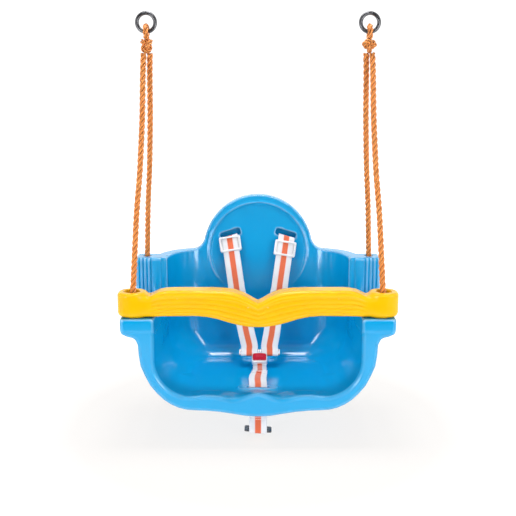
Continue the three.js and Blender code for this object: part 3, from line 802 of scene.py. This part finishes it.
def rope_material():
    """Shiny split-film yarn: fine fibres along each strand, painted shade in the grooves between strands,
    faded patches.
    """
    material, tree, shader = new_material("orange_rope")
    coords = object_coords(tree)
    around = attribute_value(tree, "around")
    along = attribute_value(tree, "along")
    combine = tree.nodes.new("ShaderNodeCombineXYZ")
    tree.links.new(maths(tree, "MULTIPLY", around, 26.0), combine.inputs["X"])
    tree.links.new(maths(tree, "MULTIPLY", along, 60.0), combine.inputs["Y"])
    fibre = noise(tree, combine.outputs["Vector"], 1.0, 3.0, 0.65)
    patch = noise(tree, coords, 30.0, 3.0)
    # The sides of each strand that face into the grooves between strands are painted dark: painted shade.
    crown = maths(tree, "COSINE", maths(tree, "MULTIPLY", around, 2 * math.pi))
    strand_gap_shade = ramp(tree, crown, -0.1, 0.65, 0.5, 1.0)
    shade = ramp(tree, fibre, 0.3, 0.7, 0.0, 1.0)
    base = mix(tree, shade, (0.66, 0.18, 0.025), (1.0, 0.38, 0.07))
    faded = ramp(tree, patch, 0.45, 0.75, 0.0, 0.35)
    worn = mix(tree, faded, base, (0.85, 0.38, 0.10))
    tree.links.new(mix(tree, strand_gap_shade, (0.10, 0.022, 0.004), worn), shader.inputs["Base Color"])
    tree.links.new(ramp(tree, fibre, 0.2, 0.8, 0.42, 0.7), shader.inputs["Roughness"])
    tree.links.new(bump(tree, fibre, 0.55, 0.0004), shader.inputs["Normal"])
    set_input(shader, Sheen_Weight=0.2, Subsurface_Weight=0.05, Subsurface_Scale=0.002)
    return material


ROPE = rope_material()


def rope_path(start, end, sway, side):
    """A nearly straight run with a slight inward bow in its upper half."""
    t = np.linspace(0.0, 1.0, 36)[:, None]
    p = np.asarray(start, float) * (1 - t) + np.asarray(end, float) * t
    window = ease(100.0, 190.0, p[:, 2]) * (1.0 - ease(240.0, 345.0, p[:, 2]))
    p[:, 0] -= side * sway * window
    return p


def build_rope(kind, side, word, pointer, knot_z, sway):
    start = pointer(side, knot_z + END_KNOT_R - 1.0)
    end = pointer(side, ROPE_TOP_Z)
    path = rope_path(start, end, sway, side)
    rope = twisted_rope(f"{kind}_rope_twisted_{word}", path)
    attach(rope, "seat")
    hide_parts(f"{kind}_rope_{word}")


def trefoil(centre, spread, depth, axis_tilt):
    """A closed trefoil knot round the centre, turned about the vertical."""
    t = np.linspace(0.0, 2 * math.pi, 160, endpoint=False)
    knot = np.stack([np.sin(t) + 2 * np.sin(2 * t), -depth * np.sin(3 * t),
                     np.cos(t) - 2 * np.cos(2 * t)], axis=1) * spread
    knot[:, 1] /= spread
    c, s = math.cos(axis_tilt), math.sin(axis_tilt)
    x = knot[:, 0] * c - knot[:, 1] * s
    y = knot[:, 0] * s + knot[:, 1] * c
    return np.stack([x, y, knot[:, 2]], axis=1) + np.asarray(centre, float)


def knot_piece(name, node, path, diameter):
    knot = twisted_rope(name, path, diameter=diameter, lay=LAY_LENGTH * 0.8, closed=True)
    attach(knot, "seat")
    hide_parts(node)


FRONT_KNOT_Z = LEDGE_Z - WALL - END_KNOT_R - 0.5
REAR_KNOT_Z = SHOULDER_Z - WALL - END_KNOT_R - 0.5


def build_ropes():
    for side, word in SIDES:
        build_rope("front", side, word, front_rope_at, FRONT_KNOT_Z, 2.5)
        build_rope("rear", side, word, rear_rope_at, REAR_KNOT_Z, 1.8)
        ends = (("front", front_rope_at(side, FRONT_KNOT_Z), 0.5),
                ("rear", rear_rope_at(side, REAR_KNOT_Z), -0.4))
        for kind, at, turn in ends:
            knot_piece(f"{kind}_end_knot_{word}", f"{kind}_rope_knot_{word}",
                       trefoil(at, *END_KNOT, turn * side), KNOT_ROPE_D)
        build_ring_knot(side, word)


def build_ring_knot(side, word):
    """A ball of knot under the ring and the eye of rope that goes round the ring's wire."""
    ball = trefoil([side * RING_X, RING_Y, RING_WIRE_Z - RING_KNOT_DROP], *RING_KNOT, 0.6 * side)
    knot_piece(f"ring_knot_ball_{word}", f"ring_knot_{word}", ball, RING_BALL_ROPE_D)
    t = np.linspace(0.0, 2 * math.pi, 90, endpoint=False)
    wire = [side * RING_X, RING_Y, RING_WIRE_Z]
    loop = np.stack([0 * t, EYE_R * np.cos(t), EYE_R * np.sin(t)], axis=1) + wire
    eye = twisted_rope(f"ring_knot_loop_{word}", loop, diameter=EYE_ROPE_D, closed=True)
    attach(eye, "seat")


build_ropes()


# --- webbing ---
def webbing_material():
    """White webbing with an orange centre stripe and a ribbed weave."""
    material, tree, shader = new_material("striped_webbing")
    across = attribute_value(tree, "across")
    along = attribute_value(tree, "along")
    off_centre = maths(tree, "ABSOLUTE", across)
    coords = object_coords(tree)
    fray = noise(tree, coords, 1400.0, 2.0)
    ragged = maths(tree, "SUBTRACT", fray, 0.5)
    jitter = maths(tree, "MULTIPLY", ragged, 0.0007)
    edge = maths(tree, "ADD", off_centre, jitter)
    stripe = ramp(tree, edge, 0.0043, 0.0049, 1.0, 0.0)
    halo = ramp(tree, edge, 0.0049, 0.0062, 1.0, 0.0)
    weft = wave(tree, along, 0.00115)
    warp = wave(tree, across, 0.00125)
    slant = wave(tree, maths(tree, "ADD", along, across), 0.0023)
    weave = maths(tree, "MULTIPLY_ADD", weft, 0.6)
    ribs = maths(tree, "MULTIPLY", maths(tree, "ADD", warp, slant), 0.4)
    height = maths(tree, "ADD", weave, ribs)
    grime = noise(tree, coords, 40.0, 4.0)
    white = mix(tree, ramp(tree, grime, 0.4, 0.75, 0.0, 0.6),
                (0.70, 0.71, 0.75), (0.60, 0.60, 0.65))
    blush = mix(tree, maths(tree, "MULTIPLY", halo, 0.35), white, (0.75, 0.38, 0.32))
    orange = mix(tree, ramp(tree, weft, 0.0, 1.0, 0.0, 1.0),
                 (0.60, 0.085, 0.025), (0.76, 0.16, 0.06))
    tree.links.new(mix(tree, stripe, blush, orange), shader.inputs["Base Color"])
    tree.links.new(bump(tree, height, 0.5, 0.0004), shader.inputs["Normal"])
    set_input(shader, Roughness=0.78, Sheen_Weight=0.25, Sheen_Roughness=0.5)
    return material


WEBBING = webbing_material()
THREAD = moulded_plastic("sewing_thread", (0.82, 0.82, 0.84), (0.7, 0.7, 0.74), 0.7)


def catmull(points, step):
    """Points every step along a rounded curve through the given points."""
    p = np.asarray(points, float)
    q = np.vstack([2 * p[0] - p[1], p, 2 * p[-1] - p[-2]])
    out = []
    for i in range(1, len(q) - 2):
        a, b, c, d = q[i - 1], q[i], q[i + 1], q[i + 2]
        for t in np.linspace(0.0, 1.0, 24, endpoint=False):
            out.append(0.5 * (2 * b + (c - a) * t + (2 * a - 5 * b + 4 * c - d) * t * t
                              + (3 * b - a - 3 * c + d) * t ** 3))
    out.append(q[-2])
    return resample(np.array(out), step)


def strap_section(width, thick):
    """Half-round selvedges and a flat middle: rows of (across, through) in millimetres."""
    half = width / 2 - thick / 2
    flat = np.linspace(-half, half, 13)
    top = [(u, thick / 2) for u in flat]
    right = [(half + thick / 2 * math.cos(a), thick / 2 * math.sin(a)) for a in (0.9, 0.0, -0.9)]
    low = [(u, -thick / 2) for u in flat[::-1]]
    left = [(-u, -v) for u, v in right]
    return np.array(top + right + low + left)


def strap_frames(path, across):
    tangent = tangents(path)
    side = unit(across - tangent * (across * tangent).sum(1, keepdims=True))
    return tangent, side, np.cross(tangent, side)


def strap_mesh(name, path, across, cup=None):
    """A strip of webbing; cup (0 to 1 along the path) draws its edges in and bows it."""
    section = strap_section(WEB_W, WEB_T)
    cup = np.zeros(len(path)) if cup is None else cup
    tangent, side, normal = strap_frames(path, across)
    flat = section[None, :, :1] * (1.0 - 0.2 * cup[:, None, None])
    bow = (section[None, :, :1] / WEB_W * 2) ** 2 * 3.2 * cup[:, None, None]
    ring = side[:, None, :] * flat + normal[:, None, :] * (section[None, :, 1:] + bow)
    vertices = (path[:, None, :] + ring).reshape(-1, 3)
    n = len(section)
    faces = tube_faces(len(path), n, False, 0)
    obj = mesh_object(name, row(vertices), faces)
    store_value(obj, "across", np.tile(section[:, 0], len(path)) / 1000.0)
    store_value(obj, "along", np.repeat(arc_lengths(path), n) / 1000.0)
    obj.data.materials.append(WEBBING)
    return obj


def tilted(degrees):
    a = np.radians(degrees)
    return np.stack([np.cos(a), 0 * a, np.sin(a)], axis=-1)


SLIDER_FROM = np.array([-49.2, 202.5, 44.0])
SLIDER_TO = np.array([-35.9, 163.0, -38.0])
SLIDER_TILT = 9.0
BUCKLE_AT = np.array([2.5, 110.0, -143.0])
BUCKLE_V = np.array([0.0, 0.8, 0.6])
BUCKLE_N = np.array([0.0, -0.6, 0.8])
TONGUE_X = 17.3
KEEPER_ROLL = 0.06
FOLD_SPAN = (52.0, 9.0)
STITCH_PITCH = 2.9
STITCH_LENGTH = 2.3
SLIDER_DROP = {"left": 9.0, "right": 17.5}


def in_buckle(u, v, n):
    return BUCKLE_AT + np.array([u, 0.0, 0.0]) + BUCKLE_V * v + BUCKLE_N * n


def shoulder_path():
    """Left strap: from its keeper behind the back, through the slot and down to the tongue's bar."""
    turn = np.linspace(math.pi, 0.0, 9)
    tail = [[-50.5, 224 + 2.8 * math.cos(a), 2 - 2.8 * math.sin(a)] for a in turn]
    rear = [[-50.5, 221.2, 16], *tail, [-50.5, 226.8, 12], [-50.4, 225.8, 30], [-50, 220.5, 42],
            [-49.7, 215.5, 46.4], [-49.6, 211, 47.9], [-49.6, 207.2, 47.9], [-49.6, 204.6, 46.9]]
    mid = [SLIDER_FROM * (1 - t) + SLIDER_TO * t for t in np.linspace(-0.004, 1.0, 9)]
    down = [[-30.0, 153.5, -61], [-23.9, 143.5, -86], [-19.2, 136.0, -107]]
    turn = ((27, 3.2), (20, -0.4), (14.5, -1.3), (12.0, -1.5), (10.2, -2.0), (9.3, -3.4), (10.2, -4.9),
            (12.0, -5.4), (19.0, -5.6))
    hook = [in_buckle(-TONGUE_X, v, n) for v, n in turn]
    return catmull(rear + mid + down + hook, 1.5)


def shoulder_across(path):
    slot = np.clip((path[:, 2] - 14.0) / 34.0, 0.0, 1.0) * 17.0
    front = np.clip((path[:, 2] + 110.0) / 60.0, 0.0, 1.0) * SLIDER_TILT
    behind = ease(202.5, 208.0, path[:, 1])
    return tilted(slot * behind + front * (1.0 - behind))


def crotch_path():
    bar_y, level = 13.75, -231.0
    hook = [[0, bar_y + 3.1, level + 15], [0, bar_y + 3.0, level + 4], [0, bar_y + 2.9, level - 1],
            [0, bar_y + 2.2, level - 2.3], [0, bar_y + 0.9, level - 2.8], [0, bar_y - 0.9, level - 2.8],
            [0, bar_y - 2.2, level - 2.3], [0, bar_y - 2.9, level - 1], [0, bar_y - 2.9, level + 4]]
    rise = [[0, 12.4, -216], [0, 17.6, -190], [0, 19.9, -174], [0, 20.2, -162], [0, 22.0, -155.5],
            [-0.6, 32, -151.5], [0.2, 48, -150.5], [3.0, 64, -149.0], [2.8, 80, -151.5],
            in_buckle(0.4, -15.5, 0), in_buckle(0.0, -8.0, 0)]
    return catmull(hook + rise, 1.5)


def stitch(vertices, a, b, up):
    """A short thread that dips at both ends; returns its faces."""
    up = np.asarray(up, float)
    first = len(vertices)
    centre = np.array([a + (b - a) * t + up * 0.22 * math.sin(math.pi * t) for t in np.linspace(0, 1, 5)])
    tangent = tangents(centre)
    normal = unit(np.tile(up, (5, 1)) - tangent * (tangent @ up)[:, None])
    rings = swept_tube(centre, tangent, normal, 0.28, 6)
    vertices.extend(rings.reshape(-1, 3))
    return tube_faces(5, 6, False, first)


def flip_x(points):
    return points * np.array([-1.0, 1.0, 1.0])


def build_straps():
    path = shoulder_path()
    across = shoulder_across(path)
    aside = ease(0.0, 1.0, (SLIDER_TO[2] - path[:, 2]) / (SLIDER_TO[2] - path[-1, 2]))
    aside = np.where(path[:, 1] < SLIDER_TO[1] + 1.0, aside, 0.0)[:, None]
    for word, turn in (("left", False), ("right", True)):
        p, a = path, across
        if turn:
            p = flip_x(path) + aside * np.array([2 * BUCKLE_AT[0], 0.0, 0.0])
            a = -flip_x(across)
        strap = strap_mesh(f"shoulder_webbing_{word}", p, a)
        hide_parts(f"shoulder_strap_{word}")
        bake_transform(strap)
    crotch = crotch_path()
    level = np.tile([1.0, 0.0, 0.0], (len(crotch), 1))
    level[:, 1] = 0.25 * np.sin(np.clip((crotch[:, 1] - 24) / 58, 0, 1) * 2 * math.pi)
    level[:, 2] = -KEEPER_ROLL * (1.0 - ease(-225.0, -200.0, crotch[:, 2]))
    cup = ease(44.0, 74.0, crotch[:, 1])
    strap = strap_mesh("crotch_webbing", crotch, level, cup)
    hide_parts("crotch_strap")
    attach(strap, "seat")
    build_fold(crotch, level, cup)
    low = crotch[:, 2] < -190.0
    front = crotch[low] + np.array([0.0, -WEB_T / 2 - 0.05, 0.0])
    stitch_lines("low_stitches", front, level[low], (44.0, 47.0), (0.0, -1.0, 0.0))


def build_fold(path, across, cup):
    """The strap's end, folded back through the buckle and sewn down on top of itself."""
    s = arc_lengths(path)
    keep = (s > s[-1] - FOLD_SPAN[0]) & (s < s[-1] - FOLD_SPAN[1])
    _, _, normal = strap_frames(path, across)
    lift = normal[keep] * (WEB_T + 0.15)
    if lift[:, 2].mean() < 0.0:
        lift = -lift
    fold = strap_mesh("crotch_fold", path[keep] + lift, across[keep], cup[keep])
    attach(fold, "seat")
    top = path[keep] + lift * 1.5
    stitch_lines("crotch_stitches", top, across[keep], (2.4, 5.4))


def stitch_lines(name, path, across, places, up=(0.0, -0.3, 0.95)):
    """Threads that cross the strap at the given millimetres from the path's start."""
    s = arc_lengths(path)
    _, side, _ = strap_frames(path, across)
    vertices, faces = [], []
    for place in places:
        i = int(np.clip(np.searchsorted(s, place), 1, len(s) - 1))
        for u in np.arange(-12.4, 12.0, STITCH_PITCH):
            start = path[i] + side[i] * u
            faces += stitch(vertices, start, start + side[i] * STITCH_LENGTH, up)
    obj = mesh_object(name, row(np.array(vertices)), faces)
    obj.data.materials.append(THREAD)
    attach(obj, "seat")


build_straps()


# --- steel, white plastic and the buckle ---
def steel_material():
    material, tree, shader = new_material("zinc_plated_steel")
    coords = object_coords(tree)
    blotch = noise(tree, coords, 260.0, 4.0)
    tree.links.new(mix(tree, blotch, (0.07, 0.072, 0.08), (0.2, 0.2, 0.21)),
              shader.inputs["Base Color"])
    tree.links.new(ramp(tree, blotch, 0.3, 0.7, 0.2, 0.38), shader.inputs["Roughness"])
    scratch = noise(tree, coords, 2200.0, 2.0)
    tree.links.new(bump(tree, scratch, 0.12, 0.0002), shader.inputs["Normal"])
    set_input(shader, Metallic=1.0)
    return material


STEEL = steel_material()
WHITE = moulded_plastic("white_plastic", (0.72, 0.73, 0.76), (0.78, 0.78, 0.8), 0.32, 0.08)
RED = moulded_plastic("red_plastic", (0.42, 0.008, 0.03), (0.5, 0.02, 0.045), 0.3, 0.08, gloss=0.03)


def refine_cad(node, width):
    """Gives a steel CAD node its finish and edges softened by width, in metres."""
    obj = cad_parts[node]
    obj.data.materials.clear()
    obj.data.materials.append(STEEL)
    weld = obj.modifiers.new("weld", "WELD")
    weld.merge_threshold = 0.00002
    if width:
        edge = obj.modifiers.new("soft_edges", "BEVEL")
        edge.width = width
        edge.segments = 2
        edge.limit_method = "ANGLE"
        edge.angle_limit = math.radians(40.0)
    obj.data.shade_smooth()
    obj.modifiers.new("flat_faces", "WEIGHTED_NORMAL")


def buckle_coords(x, y, z):
    rel_y, rel_z = y - BUCKLE_AT[1], z - BUCKLE_AT[2]
    v = rel_y * BUCKLE_V[1] + rel_z * BUCKLE_V[2]
    n = rel_y * BUCKLE_N[1] + rel_z * BUCKLE_N[2]
    return x - BUCKLE_AT[0], v, n


def housing_field(x, y, z):
    u, v, n = buckle_coords(x, y, z)
    body = round_max(round_max(np.abs(u) - 12.7, slab(v, -9.8, 8.8), 3.5), np.abs(n) - 6.0, 1.6)
    pocket = round_max(round_max(np.abs(u) - 11.5, np.abs(v) - 7.4, 3.0), -3.2 - n, 0.5)
    mouths = np.maximum(np.maximum(np.abs(np.abs(u) - 7.2) - 4.5, np.abs(n + 3.4) - 1.3), 1.0 - v)
    body = round_max(body, -pocket, 0.7)
    return round_max(body, -mouths, 0.4)


def button_field(x, y, z):
    u, v, n = buckle_coords(x, y, z)
    plan = round_max(np.abs(u) - 11.2, np.abs(v) - 7.1, 3.0)
    crown = 8.0 - 1.3 * (u / 10.5) ** 2 - 0.5 * (v / 6.5) ** 2
    rib = 0.25 * np.exp(-((np.abs(v) - 1.6) / 0.5) ** 2) * (np.abs(u) < 6.0)
    return round_max(plan, np.maximum(n - crown - rib, 1.7 - n), 1.2)


def slider_piece(side, word, down):
    """A ladder buckle: the strap runs through it and shows in its front window."""
    up = unit(SLIDER_FROM - SLIDER_TO)
    across = tilted(SLIDER_TILT)
    across = unit(across - up * (across @ up))
    out = np.cross(across, up)
    at = SLIDER_FROM - up * down

    def field(x, y, z):
        rel = [side * -x - at[0], y - at[1], z - at[2]]
        u, w, n = (sum(c * k for c, k in zip(rel, axis)) for axis in (across, up, out))
        frame_body = round_max(round_max(np.abs(u) - 18.5, np.abs(w) - 13.5, 3.0), np.abs(n) - 3.5, 1.3)
        passage = np.maximum(np.abs(u) - 14.8, np.abs(n) - 1.4)
        window = round_max(round_max(np.abs(u) - 14.6, np.abs(w) - 10.2, 2.0), -n, 0.2)
        dots = np.sqrt((u + side * 16.4) ** 2 + (np.abs(w - 2.0) - 4.5) ** 2) - 0.9
        dots = np.maximum(dots, 2.4 - n)
        return np.maximum(round_max(frame_body, -np.minimum(passage, window), 0.6), -dots)

    centre = at * np.array([-side, 1.0, 1.0])
    return moulded(f"ladder_slider_{word}", field, even_axes(centre - 24.0, centre + 24.0, 0.55))


def build_hardware():
    for _, word in SIDES:
        refine_cad(f"hanging_ring_{word}", 0.0)
        refine_cad(f"strap_keeper_{word}", 0.0008)
        refine_cad(f"buckle_tongue_{word}", 0.0004)
    refine_cad("crotch_strap_keeper", 0.0008)
    refine_cad("button_spring", 0.0)
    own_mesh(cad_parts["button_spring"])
    for side, word in SIDES:
        slider = slider_piece(side, word, SLIDER_DROP[word])
        finish_moulded(slider, WHITE, f"shoulder_slider_{word}", [f"shoulder_slider_{word}"])
    housing = moulded("buckle_body", housing_field, even_axes((-12, 96, -158), (18, 124, -128), 0.45))
    finish_moulded(housing, WHITE, "seat", ["buckle_housing"])
    button = moulded("press_button", button_field, even_axes((-10, 97, -151), (15, 121, -127), 0.4))
    finish_moulded(button, RED, "buckle_button", ["buckle_button"])


build_hardware()


# --- light and backdrop ---
FLOOR_LEVEL_Z = -245.0
FLOOR_HALF = 14.0
FLOOR_SPLIT_Y = -0.75
FLOOR_FAR_Y = 5.0
CURTAIN_R = 6.0
CURTAIN_HEIGHT = 8.0
CURTAIN_OVERLAP = 0.45
CURTAIN_STEPS = 32
PAPER_NEAR_GLOW = 0.80
PAPER_FAR_GLOW = 1.3
SHADOW_REACH = (0.3, 0.75)
PAINTED_WARMTH_REACH = (0.3, 0.6)
WORLD_FRONT = (-0.05, 0.12, 0.0, 0.42)
WORLD_REAR = (0.15, 0.6, 1.15, 0.5)
WORLD_TURN_Y = (-0.2, 0.35)


def area_light(name, location, target, size, power, seen=True):
    """A rectangular lamp; seen says whether glossy surfaces reflect it."""
    data = bpy.data.lights.new(name, "AREA")
    data.shape = "RECTANGLE"
    data.size, data.size_y = size
    data.energy = power
    light = bpy.data.objects.new(name, data)
    light.location = location
    light.visible_glossy = seen
    light.visible_camera = False
    light.rotation_euler = (Vector(target) - Vector(location)).to_track_quat("-Z", "Y").to_euler()
    bpy.context.scene.collection.objects.link(light)


def paper_material():
    """White paper that takes a soft shadow under the seat, is painted warmer near the seat to cancel the
    seat's blue bounce light, and fades to plain white further off.
    """
    material, tree, shader = new_material("white_paper")
    set_input(shader, Roughness=0.9, Specular_IOR_Level=0.0, Base_Color=(0.18, 0.18, 0.18, 1.0))
    coords = object_coords(tree)
    length = tree.nodes.new("ShaderNodeVectorMath")
    length.operation = "LENGTH"
    tree.links.new(coords, length.inputs[0])
    away = length.outputs["Value"]
    glow = ramp(tree, away, *SHADOW_REACH, PAPER_NEAR_GLOW, PAPER_FAR_GLOW)
    tree.links.new(glow, shader.inputs["Emission Strength"])
    # Near the seat the glow is painted warmer, to cancel the blue light that the seat bounces onto the
    # paper.
    fade = ramp(tree, away, *PAINTED_WARMTH_REACH, 0.0, 1.0)
    tree.links.new(mix(tree, fade, (1.0, 0.97, 0.94), (1.0, 1.0, 1.0)),
              shader.inputs["Emission Color"])
    return material



def paper_sheet(name, vertices, faces, material, lit=True):
    """A sheet of the backdrop; an unlit one is seen only by the camera."""
    paper = mesh_object(name, vertices, faces, smooth=False)
    paper.location = (0.0, 0.0, (FLOOR_LEVEL_Z - RING_WIRE_Z) / 1000.0)
    paper.data.materials.append(material)
    if not lit:
        paper.visible_glossy = False
        paper.visible_diffuse = False
        paper.visible_shadow = False


def floor_sheet(name, near_y, far_y, material, lit=True):
    edge = [(-FLOOR_HALF, near_y, 0), (FLOOR_HALF, near_y, 0),
            (FLOOR_HALF, far_y, 0), (-FLOOR_HALF, far_y, 0)]
    paper_sheet(name, edge, [(0, 1, 2, 3)], material, lit)


def backdrop():
    """Paper under the object, with more paper and a curtain ahead of it that only the camera sees."""
    paper = paper_material()
    floor_sheet("floor", FLOOR_SPLIT_Y, FLOOR_FAR_Y, paper)
    floor_sheet("floor_ahead", -FLOOR_HALF, FLOOR_SPLIT_Y, paper, lit=False)
    turns = np.linspace(math.pi - CURTAIN_OVERLAP, 2.0 * math.pi + CURTAIN_OVERLAP, CURTAIN_STEPS + 1)
    foot = [(CURTAIN_R * math.cos(a), CURTAIN_R * math.sin(a), 0.0) for a in turns]
    top = [(x, y, CURTAIN_HEIGHT) for x, y, z in foot]
    row_length = len(foot)
    faces = [(i, i + 1, i + row_length + 1, i + row_length) for i in range(CURTAIN_STEPS)]
    paper_sheet("curtain", foot + top, faces, paper, lit=False)


def world_light():
    """Dark ahead at low height, bright behind near the horizon, and even above."""
    world = bpy.data.worlds.new("studio")
    bpy.context.scene.world = world
    world.use_nodes = True
    tree = world.node_tree
    background = tree.nodes["Background"]
    coords = tree.nodes.new("ShaderNodeTexCoord").outputs["Generated"]
    split = tree.nodes.new("ShaderNodeSeparateXYZ")
    tree.links.new(coords, split.inputs[0])
    front = ramp(tree, split.outputs["Z"], *WORLD_FRONT)
    behind = ramp(tree, split.outputs["Y"], *WORLD_TURN_Y, 0.0, 1.0)
    rear = ramp(tree, split.outputs["Z"], *WORLD_REAR)
    rest = maths(tree, "MULTIPLY", maths(tree, "SUBTRACT", rear, front), behind)
    tree.links.new(maths(tree, "ADD", front, rest), background.inputs["Strength"])
    set_input(background, Color=(1.0, 1.0, 1.0, 1.0))


def studio():
    """Lamps in metres and watts; the two fills aren't reflected by the gloss."""
    for side, word in SIDES:
        area_light(f"{word}_overhead", (0.42 * side, -0.1, 0.85), (0, 0, -0.5), (0.3, 0.1), 2.0)
        area_light(f"{word}_strip", (1.6 * side, -1.0, -0.1), (0, 0, -0.45), (0.2, 1.2), 4.0)
    area_light("lamp", (0.0, 0.04, 0.85), (0.0, 0.04, -0.5), (0.4, 0.5), 8.0)
    area_light("left_box", (-0.85, -1.35, -0.3), (0, 0, -0.45), (0.4, 0.5), 6.5)
    area_light("right_box", (0.85, -1.35, -0.25), (0, 0, -0.45), (0.4, 0.7), 8.0)
    area_light("front_fill", (0.0, -2.2, 0.5), (0, 0, -0.5), (2.6, 2.0), 7.5, seen=False)
    area_light("top_fill", (0.0, 0.0, 1.6), (0, 0, -0.5), (2.2, 2.2), 2.0, seen=False)
    backdrop()
    world_light()
    bpy.context.scene.view_settings.view_transform = "Standard"


studio()
